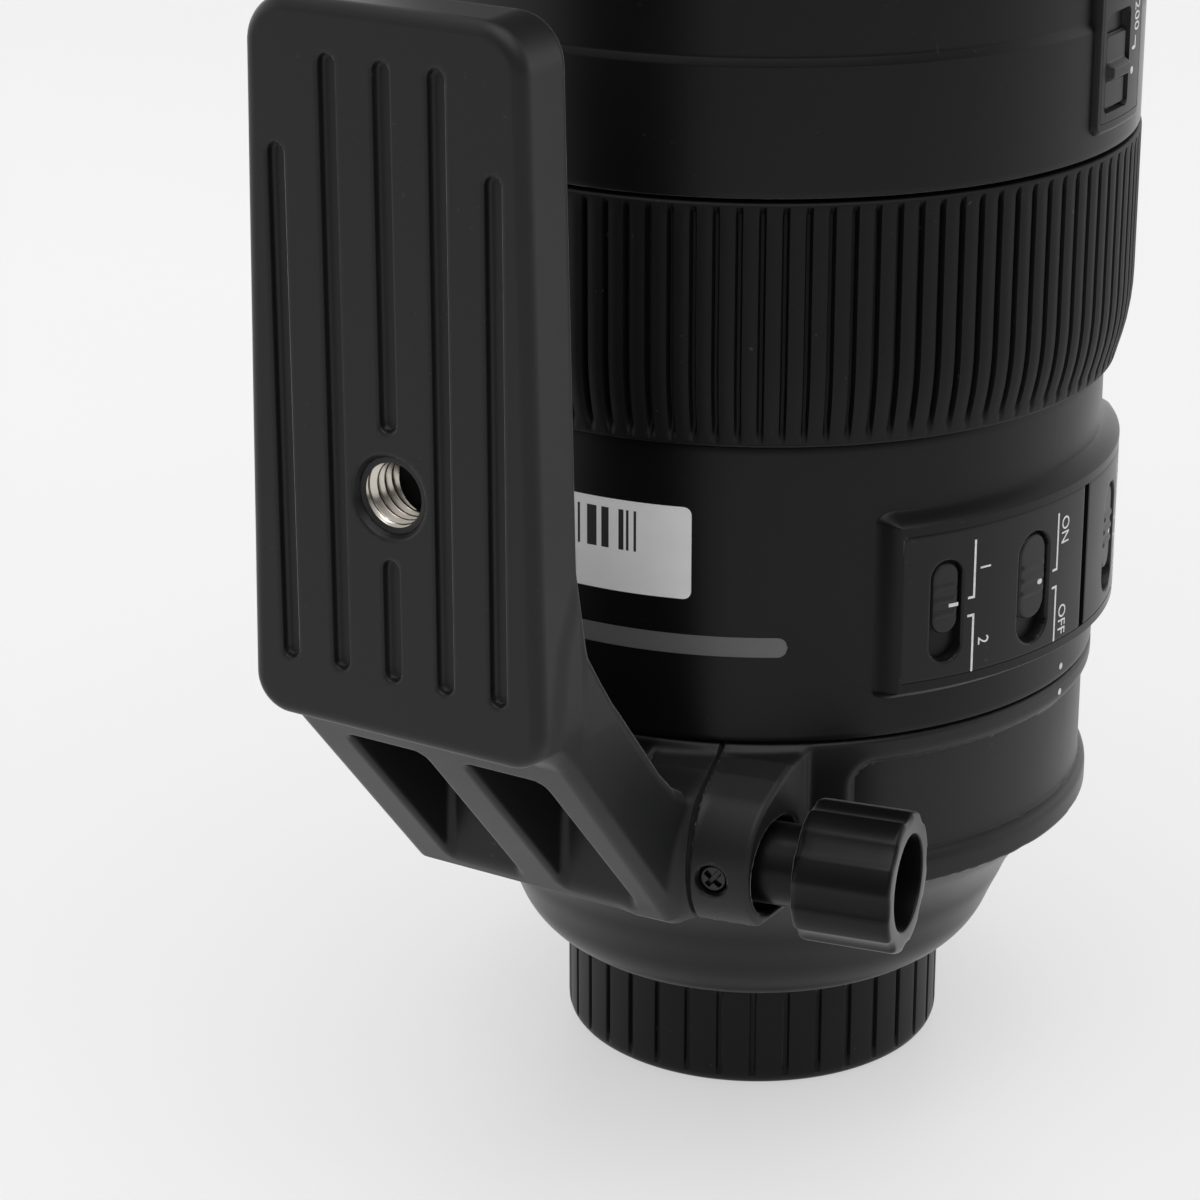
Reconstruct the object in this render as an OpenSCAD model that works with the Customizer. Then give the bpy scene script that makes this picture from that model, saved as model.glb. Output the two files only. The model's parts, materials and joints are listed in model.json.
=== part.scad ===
// Telephoto zoom lens with a tripod collar, standing on its rear cap.
// The optical axis is +Z, the floor is z = 0 and the collar's foot points to -Y.
// Azimuth is counted from the foot (-Y) towards +X. All sizes are millimetres.

/* [Clearances] */
// Gap between pieces that move past each other
run_gap = 0.3; // [0.2:0.05:0.4]
// Gap round pieces that are fitted into each other
fit_gap = 0.05; // [0.02:0.01:0.1]

/* [Rear cap] */
// Room between the bayonet lugs and the wall of the rear cap
cap_room = 1.8; // [1.2:0.1:2.5]
// Height of the rear cap
cap_h = 16; // [15:0.1:18]
// Wall and floor thickness of the rear cap
cap_wall = 2; // [1.6:0.1:2.2]
// Bevel along the bottom edge of the rear cap
cap_bevel = 2; // [1:0.1:3]
// Number of grip grooves round the rear cap
cap_grooves = 36; // [24:1:48]
// Width of a grip groove
cap_groove_w = 0.9; // [0.5:0.1:1.5]
// Depth of a grip groove
cap_groove_d = 0.5; // [0.3:0.1:0.8]

/* [Bayonet mount] */
// Inside radius of the bayonet throat
throat_r = 20; // [19:0.1:20.5]
// Wall thickness of the bayonet tube
throat_wall = 2; // [1.5:0.1:2.2]
// Length of the bayonet tube behind the flange
throat_h = 7.5; // [6.5:0.1:9]
// Reach of a bayonet lug beyond the tube
lug_reach = 1.7; // [1.2:0.1:2]
// Thickness of a bayonet lug
lug_t = 2; // [1.5:0.1:2.5]
// Angle that one bayonet lug covers
lug_angle = 50; // [40:1:55]
// Reach of the mount flange beyond the rear cap
flange_over = 1.5; // [1:0.1:2]
// Thickness of the mount flange
flange_t = 3; // [2.5:0.1:3.5]
// Number of screws that hold the flange
flange_screws = 5; // [3:1:6]
// Thread radius of a flange screw
flange_screw_r = 1; // [0.8:0.1:1.1]
// Number of electrical contacts
contacts = 8; // [6:1:10]
// Radius of a contact pin
contact_r = 0.6; // [0.4:0.05:0.7]

/* [Rear housing] */
// Height of the bowl between the flange and the collar
bowl_h = 23.6; // [20:0.1:28]
// Thickness of the bowl's lip round the flange
bowl_lip = 1; // [0.6:0.1:2]
// Growth of the bowl's radius from its lip to half way up
bowl_swell = 7.5; // [6:0.1:9]
// Reach of the bowl's top edge beyond the collar's seat
bowl_over = 1.3; // [0.8:0.1:1.8]
// Wall thickness of the bowl
bowl_wall = 2.4; // [1.8:0.1:3]
// Step from the main barrel's bore down to the seat that the collar turns on
seat_step = 1.2; // [0.8:0.1:1.6]
// Wall thickness of the seat
seat_wall = 2.3; // [2:0.1:2.6]
// Length of the seat inside the main barrel
seat_spigot = 6.4; // [5:0.1:8]

/* [Tripod collar] */
// Height of the collar ring
collar_h = 23.1; // [21:0.1:26]
// Depth of the belt between the lips
belt_d = 1; // [0.6:0.1:1.2]
// Height of the lower lip
lip_low = 4.8; // [3:0.1:6]
// Height of the upper lip
lip_high = 4; // [3:0.1:6]
// Angle from the foot at which the belt starts
belt_az = 46; // [40:1:60]
// Half width of the foot's arm
arm_w = 22; // [20:0.1:23]

/* [Foot plate] */
// Distance from the collar to the outer face of the plate
foot_reach = 44.1; // [40:0.1:50]
// Thickness of the plate
plate_t = 10.2; // [8:0.1:12]
// Distance from the collar's upper end to the plate's lower end
plate_up = 15.1; // [13:0.1:18]
// Length of the plate
plate_l = 92.1; // [80:0.1:94]
// Half width of the plate at its lower end
plate_w0 = 22.3; // [20.5:0.1:23]
// Half width of the plate at its upper end
plate_w1 = 20.3; // [19:0.1:22]
// Corner radius of the plate
plate_corner = 6; // [3:0.1:8]
// Bevel round the outer face of the plate
plate_bevel = 1.2; // [0.5:0.1:2]
// Spacing of the grooves in the plate
groove_pitch = 7.95; // [7:0.05:8]
// Width of a groove
groove_w = 2.4; // [1.6:0.1:3]
// Depth of a groove
groove_d = 1.2; // [0.6:0.1:2]
// Distance from the plate's ends to the long grooves
groove_end = 6.4; // [5:0.1:8]
// Extra distance from the upper end to the two outer grooves
groove_short = 11.9; // [8:0.1:16]
// Distance from the plate's lower end to the tripod thread's axis
thread_up = 31; // [26:0.1:38]
// Minor radius of the tripod thread
thread_r = 3.97; // [3.9:0.01:4.1]
// Outside radius of the thread bush
bush_r = 4.95; // [4.8:0.05:5.4]
// Depth of the bush below the foot's face
bush_sink = 1; // [0.5:0.1:1.5]
// Length of the thread bush
bush_l = 8; // [6:0.1:9]

/* [Collar clamp] */
// Azimuth of the clamp
clamp_az = 11.3; // [10:0.1:13]
// Distance from the collar to the clamp screw's axis
clamp_out = 3.3; // [3:0.1:4]
// Distance from the collar's lower end to the clamp screw's axis
clamp_up = 8.95; // [8:0.05:10]
// Distance of the slit from the clamp's middle
slit_s = 10.85; // [10:0.05:12]
// Width of the slit
slit_w = 0.5; // [0.3:0.05:0.8]
// Width of the lug beside the slit
lug_w = 8.25; // [7.5:0.05:9]
// Distance from the clamp screw's axis to the lug's outer face
lug_out = 9; // [8:0.1:10]
// Radius of the lug's rounded nose
lug_nose_r = 10.6; // [9:0.1:12]
// Radius of the clamp screw
stud_r = 3; // [2.5:0.1:3.2]
// Radius of the knob
knob_r = 9.65; // [9:0.05:9.9]
// Length of the knob
knob_l = 13.75; // [12:0.05:16]
// Radius of the knob's neck
neck_knob_r = 5.65; // [5:0.05:6]
// Length of the knob's neck
neck_knob_l = 7.55; // [7:0.05:9]
// Depth that the neck goes into the lug
knob_in = 2; // [1.5:0.1:2.5]
// Room round the neck in the lug
knob_room = 0.95; // [0.6:0.05:1.2]
// Length by which that room is drawn out towards the lug's nose
knob_slot = 1.8; // [0.5:0.1:2]
// Number of flutes round the knob
knob_flutes = 8; // [6:1:12]
// Depth of a flute
flute_d = 0.45; // [0.3:0.05:0.8]
// Radius of the recess in the knob's end
knob_bore_r = 6.7; // [6:0.1:7]
// Radius of the stop screw's head
stop_head_r = 2; // [1.5:0.1:2.2]

/* [Main barrel] */
// Height of the main barrel up to the focus ring
main_h = 42.2; // [38:0.1:48]
// Outside radius of the main barrel
main_r = 48.9; // [48.7:0.1:49.4]
// Wall thickness of the main barrel
main_wall = 2.2; // [1.8:0.1:2.4]
// Step from the main barrel down to the neck that carries the focus ring
neck_step = 0.6; // [0.4:0.1:0.8]
// Length of the neck above the focus ring
neck_over = 7.8; // [6:0.1:9]
// Height of the switch housing above the main barrel
pad_rise = 2.7; // [2.2:0.1:3]
// Half angle of the switch housing
pad_half = 42; // [40:1:44]
// Distance from the main barrel's lower end to the switch housing
pad_low = 5.4; // [4:0.1:8]
// Distance from the longest slot to the switch housing's edges
pad_margin = 5.7; // [4.5:0.1:7]
// Thickness of a switch panel
panel_t = 1.6; // [1.2:0.1:1.8]
// Azimuth of the joint between the two switch panels
panel_joint_az = 91; // [88:0.5:92]
// Angle of that joint
panel_joint = 1; // [0.6:0.1:2]
// Margin from the switch housing's edge to its panels
panel_margin = 3.5; // [2.5:0.1:4.5]
// Width of the two narrow switch sliders
slider_w = 4.4; // [4:0.1:5]
// Length of the two narrow switch sliders
slider_l = 10.5; // [9:0.1:12]
// Travel of the two narrow switch sliders
slider_travel = 3.5; // [2:0.1:4]
// Width of the two wide switch sliders
wide_w = 5.8; // [5:0.1:6]
// Length of the two wide switch sliders
wide_l = 12.6; // [10:0.1:13]
// Travel of the two wide switch sliders
wide_travel = 3; // [2:0.1:3.5]
// Distance of the sliders' slots below the switch housing's middle
slider_drop = 0.9; // [0:0.1:1]

/* [Focus unit] */
// Height of the focus ring
focus_h = 33.8; // [28:0.1:40]
// Wall thickness of the focus ring
focus_wall = 1.3; // [1:0.1:1.4]
// Thickness of the focus grip
focus_grip_t = 2.6; // [1.8:0.1:3]
// Thickness of the focus grip at its lower end
focus_grip_low_t = 0.5; // [0.3:0.1:1]
// Height of the tapered lower end of the focus grip
focus_taper = 8; // [4:0.1:10]
// Number of ribs round the focus grip
focus_ribs = 110; // [90:2:130]
// Width of the gap between two ribs of the focus grip
focus_rib_gap = 0.7; // [0.5:0.1:1]
// Depth of that gap
focus_rib_d = 1.1; // [0.6:0.1:1.4]
// Radial width of the motor's rings
motor_w = 4.1; // [3.5:0.1:5]
// Wall thickness of the thin inner tubes
tube_wall = 1.8; // [1.5:0.1:2]
// Room for wires between the ring motor and the main barrel
motor_room = 3.2; // [2.5:0.1:4]
// Thickness of the motor's stator
stator_h = 5; // [4:0.1:6]
// Thickness of the motor's rotor
rotor_h = 4; // [3:0.1:5]
// Travel of the focus group
focus_travel = 12; // [6:0.1:14]
// Turn of the focus cam over that travel
focus_turn = 90; // [60:1:100]
// Wall of the focus group's cell round its lenses
focus_cell_wall = 11.3; // [8:0.1:14]
// Height of the focus group's cell
focus_cell_h = 12; // [11:0.1:14]

/* [Middle barrel and zoom ring] */
// Height of the middle barrel
mid_h = 35.8; // [32:0.1:40]
// Wall thickness of the middle barrel
mid_wall = 3.95; // [3.5:0.05:4.5]
// Height of the ledge above the middle barrel's lower end
ledge_h = 18.2; // [17:0.1:22]
// Depth of the ledge
ledge_d = 0.5; // [0.2:0.1:0.8]
// Reach of the zoom ring beyond the tube that it turns on
zoom_over = 2.5; // [2:0.1:6]
// Thickness of the zoom grip
zoom_grip_t = 1.6; // [1:0.1:2.5]
// Number of ribs round the zoom grip
zoom_ribs = 90; // [60:3:120]
// Width of the gap between two ribs of the zoom grip
zoom_rib_gap = 0.9; // [0.6:0.1:1.2]
// Depth of that gap
zoom_rib_d = 1; // [0.6:0.1:1.2]
// Bands of ribs, one above another, on the zoom grip
zoom_bands = 3; // [1:1:4]
// Smooth rubber between two bands
zoom_band_gap = 2.8; // [2:0.1:4]
// Smooth rubber beyond the outermost bands
zoom_band_end = 2.1; // [1.5:0.1:4]
// Wall thickness of the zoom ring
zoom_wall = 1.4; // [1.2:0.1:1.6]
// Step from the middle barrel down to the tube that the zoom ring turns on
bearing_step = 1.1; // [0.8:0.1:1.4]
// Wall thickness of that tube
bearing_wall = 1; // [0.8:0.1:1.1]
// Turn of the zoom ring
zoom_turn = 90; // [70:1:100]
// Travel of the front barrel over that turn
zoom_travel = 80; // [50:0.5:80]
// Travel of the variator group over that turn
variator_travel = 25; // [10:0.5:28]
// Radius of the variator group's lenses
variator_lens_r = 28; // [24:0.1:32]
// Radius of a cam follower
follower_r = 2; // [1.5:0.1:2.2]
// Half angle of the raised zoom lock plate
lock_half = 8.3; // [8:0.1:9.5]
// Height of the zoom lock plate above the middle barrel
lock_rise = 0.8; // [0.4:0.1:1.2]
// Azimuth of the middle of the zoom lock plate
lock_az = 93; // [85:1:100]
// Angle from the middle of the zoom lock plate to its slider
lock_lead = 2; // [0:0.5:2.5]
// Width of the zoom lock slider
lock_w = 6.8; // [5:0.1:7]
// Length of the zoom lock slider
lock_l = 10.1; // [9:0.1:11]
// Travel of the zoom lock slider
lock_travel = 2.5; // [2:0.1:3]

/* [Front barrel] */
// Height of the front barrel
front_h = 35.7; // [34:0.1:40]
// Wall thickness of the front barrel
front_wall = 2.2; // [1.8:0.1:2.4]
// Distance from the front barrel's outside to the minor radius of the filter thread
filter_wall = 5.44; // [5.2:0.01:5.6]
// Depth of the filter ring
filter_h = 9; // [7:0.1:10]
// Wall thickness of the front lens cell
front_cell_wall = 4.1; // [3.6:0.1:5]

/* [Diaphragm] */
// Radius of the open diaphragm
iris_open_r = 19.5; // [17:0.1:20]
// Width of a diaphragm blade
blade_w = 10; // [9:0.1:11]
// Thickness of a diaphragm blade
blade_t = 0.2; // [0.15:0.01:0.25]
// Height taken by one blade in the stack
blade_step = 0.35; // [0.3:0.01:0.4]
// Angle that one blade covers
blade_span = 75; // [70:1:80]
// Turn of a blade from open to closed
blade_turn = 42; // [30:1:42]
// Distance from a blade's pivot to its drive pin
blade_tail = 4.5; // [4:0.1:5]
// Radius of a blade's pins
blade_pin_r = 0.7; // [0.5:0.05:0.8]

/* [Stabiliser] */
// Travel of the stabiliser each way
shift_travel = 1; // [0.5:0.1:1.5]
// Radius of the stabiliser's lens
shift_lens_r = 18; // [16:0.1:19]

/* [Hidden] */
$fn = 128;
blades = 9;
eps = 0.01;
cut_over = 0.5;
pad_az = 90;

// Heights, from the floor up
flange_z = cap_h + run_gap;
bowl_z1 = flange_z + bowl_h;
collar_z0 = bowl_z1 + run_gap;
collar_z1 = collar_z0 + collar_h;
main_z0 = collar_z1 + run_gap;
main_z1 = main_z0 + main_h;
focus_z0 = main_z1 + run_gap;
focus_z1 = focus_z0 + focus_h;
mid_z0 = focus_z1 + run_gap;
mid_z1 = mid_z0 + mid_h;
zoom_z0 = mid_z1 + run_gap;
neck_z1 = mid_z0 + neck_over;
seat_z1 = main_z0 + seat_spigot;

// Radii of the mount, from the throat outwards
throat_out = throat_r + throat_wall;
cap_in = throat_out + lug_reach + cap_room;
cap_r = cap_in + cap_wall + cap_groove_d;
flange_r = cap_r + flange_over;
bowl_r_low = flange_r + bowl_lip;
bowl_r_mid = bowl_r_low + bowl_swell;

// Radii of the barrels and of what they carry, from the main barrel
main_in = main_r - main_wall;
seat_r = main_in - seat_step;
seat_in = seat_r - seat_wall;
bowl_r_top = seat_r + bowl_over;
collar_r = main_r;
collar_in = seat_r + run_gap;
belt_r = collar_r - belt_d;
pad_r = main_r + pad_rise;
neck_r = main_r - neck_step;
neck_in = main_in - 0.5;
focus_in = neck_r + run_gap;
focus_r = focus_in + focus_wall;
focus_grip_r = focus_r + focus_grip_t;
focus_grip_low_r = focus_r + focus_grip_low_t;
motor_r = main_in - motor_room;
focus_guide_r = motor_r - motor_w;
mid_r = neck_r + fit_gap + mid_wall;
bearing_r = mid_r - ledge_d - bearing_step;
bearing_in = bearing_r - bearing_wall;
zoom_in = bearing_r + run_gap;
zoom_r = zoom_in + zoom_wall;
zoom_grip_r = zoom_r + zoom_grip_t;
cam_wall = 1.7;
ext_wall = 1.5;
cam_r = bearing_in - run_gap;
cam_in = cam_r - cam_wall;
ext_r = cam_in - run_gap;
ext_in = ext_r - ext_wall;
guide_r = ext_in - run_gap;
guide_in = guide_r - tube_wall;
variator_r = guide_in - run_gap;
front_r = zoom_r;
front_in = front_r - front_wall;
front_lens_r = front_in - fit_gap - front_cell_wall - fit_gap;
filter_r = front_r - filter_wall;

// Small pieces of mountings
flange_screw_pcd = (throat_out + flange_r) / 2;
screw_head_r = flange_screw_r + 0.9;
screw_head_h = 1.1;
screw_l = 6;
ledge_t = 2;
floor_t = 3;

// Guide flange, cam and followers
guide_flange_t = 2;
cam_z0 = neck_z1 + guide_flange_t + run_gap;
follower_slot = follower_r + run_gap;
follower_z = cam_z0 + follower_slot + 1.2;
ext_z0 = follower_z - follower_r - 1;
variator_az = 80;
variator_z = follower_z + 6.5;
key_half_h = 2;
key_half_w = 4;
key_z = follower_z + zoom_travel + follower_slot + 1.7 + key_half_h;
cam_z1 = key_z + key_half_h + 1.5;
bearing_z1 = cam_z1 + 2;
zoom_z1 = bearing_z1 + zoom_over;
front_z0 = zoom_z1 + run_gap;
front_z1 = front_z0 + front_h;
key_az = 200;
key_half_az = (key_half_w + run_gap) / bearing_in * 180 / PI;

// Diaphragm stations
iris_z = seat_z1;
iris_base_t = 2;
pivot_r = iris_open_r + blade_w + 2.5;
drive_r = pivot_r + blade_tail;
blade_z0 = iris_z + iris_base_t + run_gap;
drive_z0 = blade_z0 + blades * blade_step + run_gap;
drive_t = 1.2;
drive_in = pivot_r + 2;
drive_out = drive_r + 2.5;
iris_wall_in = drive_out + run_gap;
iris_wall_out = iris_wall_in + 2;
iris_wall_z1 = drive_z0 + drive_t + run_gap;
iris_cover_t = 1;
focus_room = 5.75;
blade_end = [pivot_r + blade_tail * cos(blade_turn), blade_tail * sin(blade_turn)];
drive_turn = atan2(blade_end[1], blade_end[0]);
echo(drive_turn = drive_turn, blade_ratio = blade_turn / drive_turn);

// Focus unit stations
focus_base_z = iris_wall_z1 + iris_cover_t + focus_room;
focus_base_t = 2;
focus_guide_in = focus_guide_r - tube_wall;
focus_cell_r = focus_guide_in - run_gap;
focus_lens_r = focus_cell_r - focus_cell_wall;
focus_cam_in = focus_guide_r + run_gap;
focus_cam_r = focus_cam_in + tube_wall;
focus_guide_z1 = neck_z1 - 2;
rotor_z0 = focus_base_z + focus_base_t + stator_h + run_gap;
focus_cam_z0 = rotor_z0 + rotor_h;
focus_cam_z1 = focus_guide_z1 - 1.5;
focus_pin_r = 1.6;
focus_slot = focus_pin_r + run_gap;
focus_pin_z = focus_cam_z0 + focus_slot + focus_cell_h;

// Stabiliser stations
shift_z = collar_z0 + 4;
shift_base_t = 3;
shift_frame_z = shift_z + shift_base_t + run_gap;
shift_frame_t = 2.4;
shift_cell_z = shift_frame_z + shift_frame_t + run_gap;
shift_cell_h = 8;
shift_key_w = 3;
shift_key_h = 1.2;
shift_frame_r = 34;
shift_cell_r = shift_lens_r + 6;

// Foot and collar clamp
foot_y = collar_r + foot_reach;
plate_z0 = collar_z1 + plate_up;
thread_z = plate_z0 + thread_up;
mouth_r = bush_r + 0.65;
clamp_rho = collar_r + clamp_out;
clamp_z = collar_z0 + clamp_up;
lug_rho = clamp_rho + lug_out;
clamp_face = slit_s + slit_w / 2;
lug_s0 = slit_s - 9;
lug_s = clamp_face + lug_w;
knob_neck_s = lug_s - knob_in + run_gap;
knob_s = knob_neck_s + neck_knob_l;
stud_end_s = slit_s - 12.3;

// Shapes that several pieces share

// Ring between two radii and two heights
module tube(r0, r1, z0, z1) {
    translate([0, 0, z0]) difference() {
        cylinder(r = r1, h = z1 - z0);
        translate([0, 0, -eps]) cylinder(r = r0, h = z1 - z0 + 2 * eps);
    }
}

// Turns the frame so that +X points outwards at an azimuth
module at_az(az) {
    rotate([0, 0, az - 90]) children();
}

// Part of a ring between two azimuths
module sector(r0, r1, z0, z1, az0, az1) {
    at_az(az0) rotate_extrude(angle = az1 - az0) translate([r0, z0]) square([r1 - r0, z1 - z0]);
}

// Round pin or hole that points outwards at an azimuth
module spoke(az, r0, r1, z, r) {
    at_az(az) translate([r0, 0, z]) rotate([0, 90, 0]) cylinder(r = r, h = r1 - r0);
}

// Slot with round ends, upright, cut outwards at an azimuth
module spoke_slot(az, r0, r1, z0, z1, half) {
    spoke(az, r0, r1, z0 + half, half);
    spoke(az, r0, r1, z1 - half, half);
    at_az(az) translate([r0, -half, z0 + half]) cube([r1 - r0, 2 * half, z1 - z0 - 2 * half]);
}

// Upright block along a radius with rounded corners
module spoke_block(az, r0, r1, z0, z1, half, corner) {
    for (z = [z0 + corner, z1 - corner], side = [-1, 1])
        at_az(az) translate([r0, side * (half - corner), z]) rotate([0, 90, 0])
            cylinder(r = corner, h = r1 - r0);
    at_az(az) translate([r0, -half, z0 + corner]) cube([r1 - r0, 2 * half, z1 - z0 - 2 * corner]);
    at_az(az) translate([r0, corner - half, z0]) cube([r1 - r0, 2 * (half - corner), z1 - z0]);
}

// Helical slot through a tube: it climbs by rise while it goes back by turn
module helix_slot(r0, r1, az, turn, z, rise, half, steps) {
    mean_r = (r0 + r1) / 2;
    run = mean_r * turn * PI / 180;
    long = sqrt(run * run + rise * rise);
    over = half / long;
    side_az = half * rise / long / mean_r * 180 / PI;
    side_z = half * run / long;
    corner_r = [r0, r0, r1, r1];
    corner_side = [-1, 1, 1, -1];
    points = [for (i = [0:steps]) let (t = -over + (1 + 2 * over) * i / steps) for (k = [0:3])
        let (a = az - 90 - turn * t + corner_side[k] * side_az)
        [corner_r[k] * cos(a), corner_r[k] * sin(a), z + rise * t + corner_side[k] * side_z]];
    sides = [for (i = [0:steps - 1]) for (k = [0:3]) let (a = 4 * i + k, b = 4 * i + (k + 1) % 4)
        each [[a, b, b + 4], [a, b + 4, a + 4]]];
    last = 4 * steps;
    ends = [[0, 2, 1], [0, 3, 2], [last, last + 1, last + 2], [last, last + 2, last + 3]];
    polyhedron(points = points, faces = concat(sides, ends), convexity = 6);
}

// How far a lens surface of curvature radius c falls back at radius r
function sag(c, r) = c == 0 ? 0 : abs(c) - sqrt(c * c - r * r);

// Keeps what lies inside the ball of a convex surface
module inside_ball(c, z) {
    if (c > 0) {
        intersection() {
            children();
            translate([0, 0, z]) sphere(r = c);
        }
    } else {
        children();
    }
}

// Lens element between two vertices; a positive curvature bulges outwards, a negative one is hollow
module element(r, z0, z1, c0, c1) {
    low = c0 < 0 ? sag(c0, r) : 0;
    high = c1 < 0 ? sag(c1, r) : 0;
    difference() {
        inside_ball(c0, z0 + c0) inside_ball(c1, z1 - c1)
            translate([0, 0, z0 - low]) cylinder(r = r, h = z1 - z0 + low + high);
        if (c0 < 0) translate([0, 0, z0 + c0]) sphere(r = -c0);
        if (c1 < 0) translate([0, 0, z1 - c1]) sphere(r = -c1);
    }
}

// Rear cap and mount

cap_lug_z0 = flange_z - throat_h + 0.6 + lug_t + run_gap;

module rear_cap() {
    color("#1b1b1d") {
        difference() {
            rotate_extrude() polygon([
                [0, 0], [cap_r - cap_bevel, 0], [cap_r - cap_bevel * 0.3, cap_bevel * 0.3],
                [cap_r, cap_bevel], [cap_r, cap_h], [cap_in, cap_h], [cap_in, cap_wall], [0, cap_wall]]);
            for (i = [0:cap_grooves - 1])
                at_az(i * 360 / cap_grooves)
                    translate([cap_r - cap_groove_d, -cap_groove_w / 2, cap_bevel])
                        cube([cap_wall, cap_groove_w, cap_h]);
        }
        for (i = [0:2])
            sector(throat_out + run_gap, cap_in + eps, cap_lug_z0, cap_h - 0.3,
                i * 120 + 5, i * 120 + lug_angle - 5);
    }
}

module flange_holes(r, z0, z1) {
    for (i = [0:flange_screws - 1])
        at_az(i * 360 / flange_screws + 30)
            translate([flange_screw_pcd, 0, z0]) cylinder(r = r, h = z1 - z0);
}

module mount_flange() {
    lug_z0 = flange_z - throat_h + 0.6;
    color("#b9bcc0") difference() {
        union() {
            tube(throat_r, flange_r, flange_z, flange_z + flange_t);
            tube(throat_r, throat_out, flange_z - throat_h, flange_z + eps);
            for (i = [0:2])
                sector(throat_out - eps, throat_out + lug_reach, lug_z0, lug_z0 + lug_t,
                    i * 120, i * 120 + lug_angle);
        }
        flange_holes(flange_screw_r + fit_gap, flange_z - eps, flange_z + flange_t + eps);
        flange_holes(screw_head_r + fit_gap, flange_z - eps, flange_z + screw_head_h);
    }
}

module mount_screws() {
    color("#8d9094") {
        flange_holes(flange_screw_r, flange_z + screw_head_h - eps, flange_z + screw_l);
        flange_holes(screw_head_r, flange_z + 0.1, flange_z + screw_head_h);
    }
}

contact_z0 = flange_z - throat_h + 0.4;
contact_mid_r = throat_r - 1.8;

module contact_row(r, z0, z1) {
    for (i = [0:contacts - 1])
        at_az(180 + (i - (contacts - 1) / 2) * 8)
            translate([contact_mid_r, 0, z0]) cylinder(r = r, h = z1 - z0);
}

module contact_block() {
    color("#151515") difference() {
        sector(contact_mid_r - 1.6, throat_r - fit_gap, contact_z0, flange_z, 142, 218);
        contact_row(contact_r + fit_gap, contact_z0 - eps, contact_z0 + 4);
    }
}

module contact_pins() {
    color("#d6a94a") contact_row(contact_r, contact_z0 - 0.4, contact_z0 + 3.9);
}

module rear_housing() {
    inner_low = flange_r + fit_gap;
    seat_ledge = flange_z + flange_t;
    color("#232426") difference() {
        union() {
            rotate_extrude() polygon([
                [inner_low, flange_z + 0.2], [bowl_r_low, flange_z + 0.2],
                [bowl_r_low + 2.5, flange_z + 2], [bowl_r_low + 4.5, flange_z + 4.7],
                [bowl_r_mid - 0.3, flange_z + 10.9], [bowl_r_mid + 1, flange_z + 13.7],
                [bowl_r_top - 2.6, bowl_z1 - 3], [bowl_r_top, bowl_z1], [seat_r, bowl_z1],
                [seat_r, seat_z1], [seat_in, seat_z1], [seat_in, bowl_z1 - 1],
                [bowl_r_mid + 1 - bowl_wall, flange_z + 14.5], [bowl_r_mid - bowl_wall, flange_z + 11],
                [bowl_r_low + 4.5 - bowl_wall, seat_ledge + floor_t],
                [throat_out, seat_ledge + floor_t], [throat_out, seat_ledge], [inner_low, seat_ledge]]);
            tube(seat_in - 3, seat_in + eps, shift_z - ledge_t, shift_z);
        }
        flange_holes(flange_screw_r + fit_gap, seat_ledge - eps, seat_ledge + floor_t + eps);
    }
}

rear_cell_z0 = flange_z - throat_h + 0.8;
rear_cell_z1 = shift_z - ledge_t - 3;
rear_seat_z = flange_z + flange_t + floor_t;
rear_tail_r = contact_mid_r - 1.9;
rear_lens_r = rear_tail_r - 1.6;

module rear_cell() {
    color("#191a1b") {
        tube(rear_lens_r + fit_gap, rear_tail_r, rear_cell_z0, rear_cell_z1);
        tube(rear_tail_r - eps, throat_out + 5, rear_seat_z, rear_seat_z + ledge_t);
        tube(rear_lens_r - 1.2, rear_lens_r + fit_gap + eps, rear_cell_z0 + 7.2, rear_cell_z0 + 9);
    }
}

module rear_lenses() {
    step_z = rear_cell_z0 + 9;
    color("#9fb8c4") {
        element(rear_lens_r, rear_cell_z0 + 1.6, rear_cell_z0 + 7.2, 60, 0);
        element(rear_lens_r, step_z, step_z + 5, 0, 40);
        element(rear_lens_r, step_z + 8, step_z + 10, -45, -50);
    }
}

// Tripod collar, foot and clamp

function arc(cx, cy, r, a0, a1, n) = [for (i = [0:n]) let (a = a0 + (a1 - a0) * i / n)
    [cx + r * cos(a), cy + r * sin(a)]];

// Outline of the foot plate, seen from the front, shrunk all round by d
module plate_outline(d) {
    w0 = plate_w0 - d;
    w1 = plate_w1 - d;
    z0 = plate_z0 + d;
    z1 = plate_z0 + plate_l - d;
    c = plate_corner;
    polygon(concat(
        arc(w0 - c, z0 + c, c, -90, 0, 6), arc(w1 - c, z1 - c, c, 0, 90, 6),
        arc(c - w1, z1 - c, c, 90, 180, 6), arc(c - w0, z0 + c, c, 180, 270, 6)));
}

// Extrudes an outline drawn in X and Z from one Y to another, towards +Y
module along_y(y0, y1) {
    translate([0, y1, 0]) rotate([90, 0, 0]) linear_extrude(y1 - y0) children();
}

// Extrudes an outline drawn in Y and Z from one X to another
module along_x(x0, x1) {
    translate([x0, 0, 0]) rotate([90, 0, 90]) linear_extrude(x1 - x0) children();
}

module foot_plate() {
    plate_back = plate_t - foot_y;
    steps = 3;
    along_y(plate_bevel - foot_y, plate_back) plate_outline(0);
    for (i = [1:steps])
        along_y(plate_bevel * (1 - sin(90 * i / steps)) - foot_y, plate_bevel - foot_y + eps)
            plate_outline(plate_bevel * (1 - cos(90 * i / steps)));
}

module foot_groove(x, z0, z1) {
    half = groove_w / 2;
    for (z = [z0 + half, z1 - half])
        translate([x, eps - foot_y + groove_d, z]) rotate([90, 0, 0]) cylinder(r = half, h = groove_d + 1);
    translate([x - half, -foot_y - 1, z0 + half]) cube([groove_w, groove_d + 1 + eps, z1 - z0 - groove_w]);
}

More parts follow.
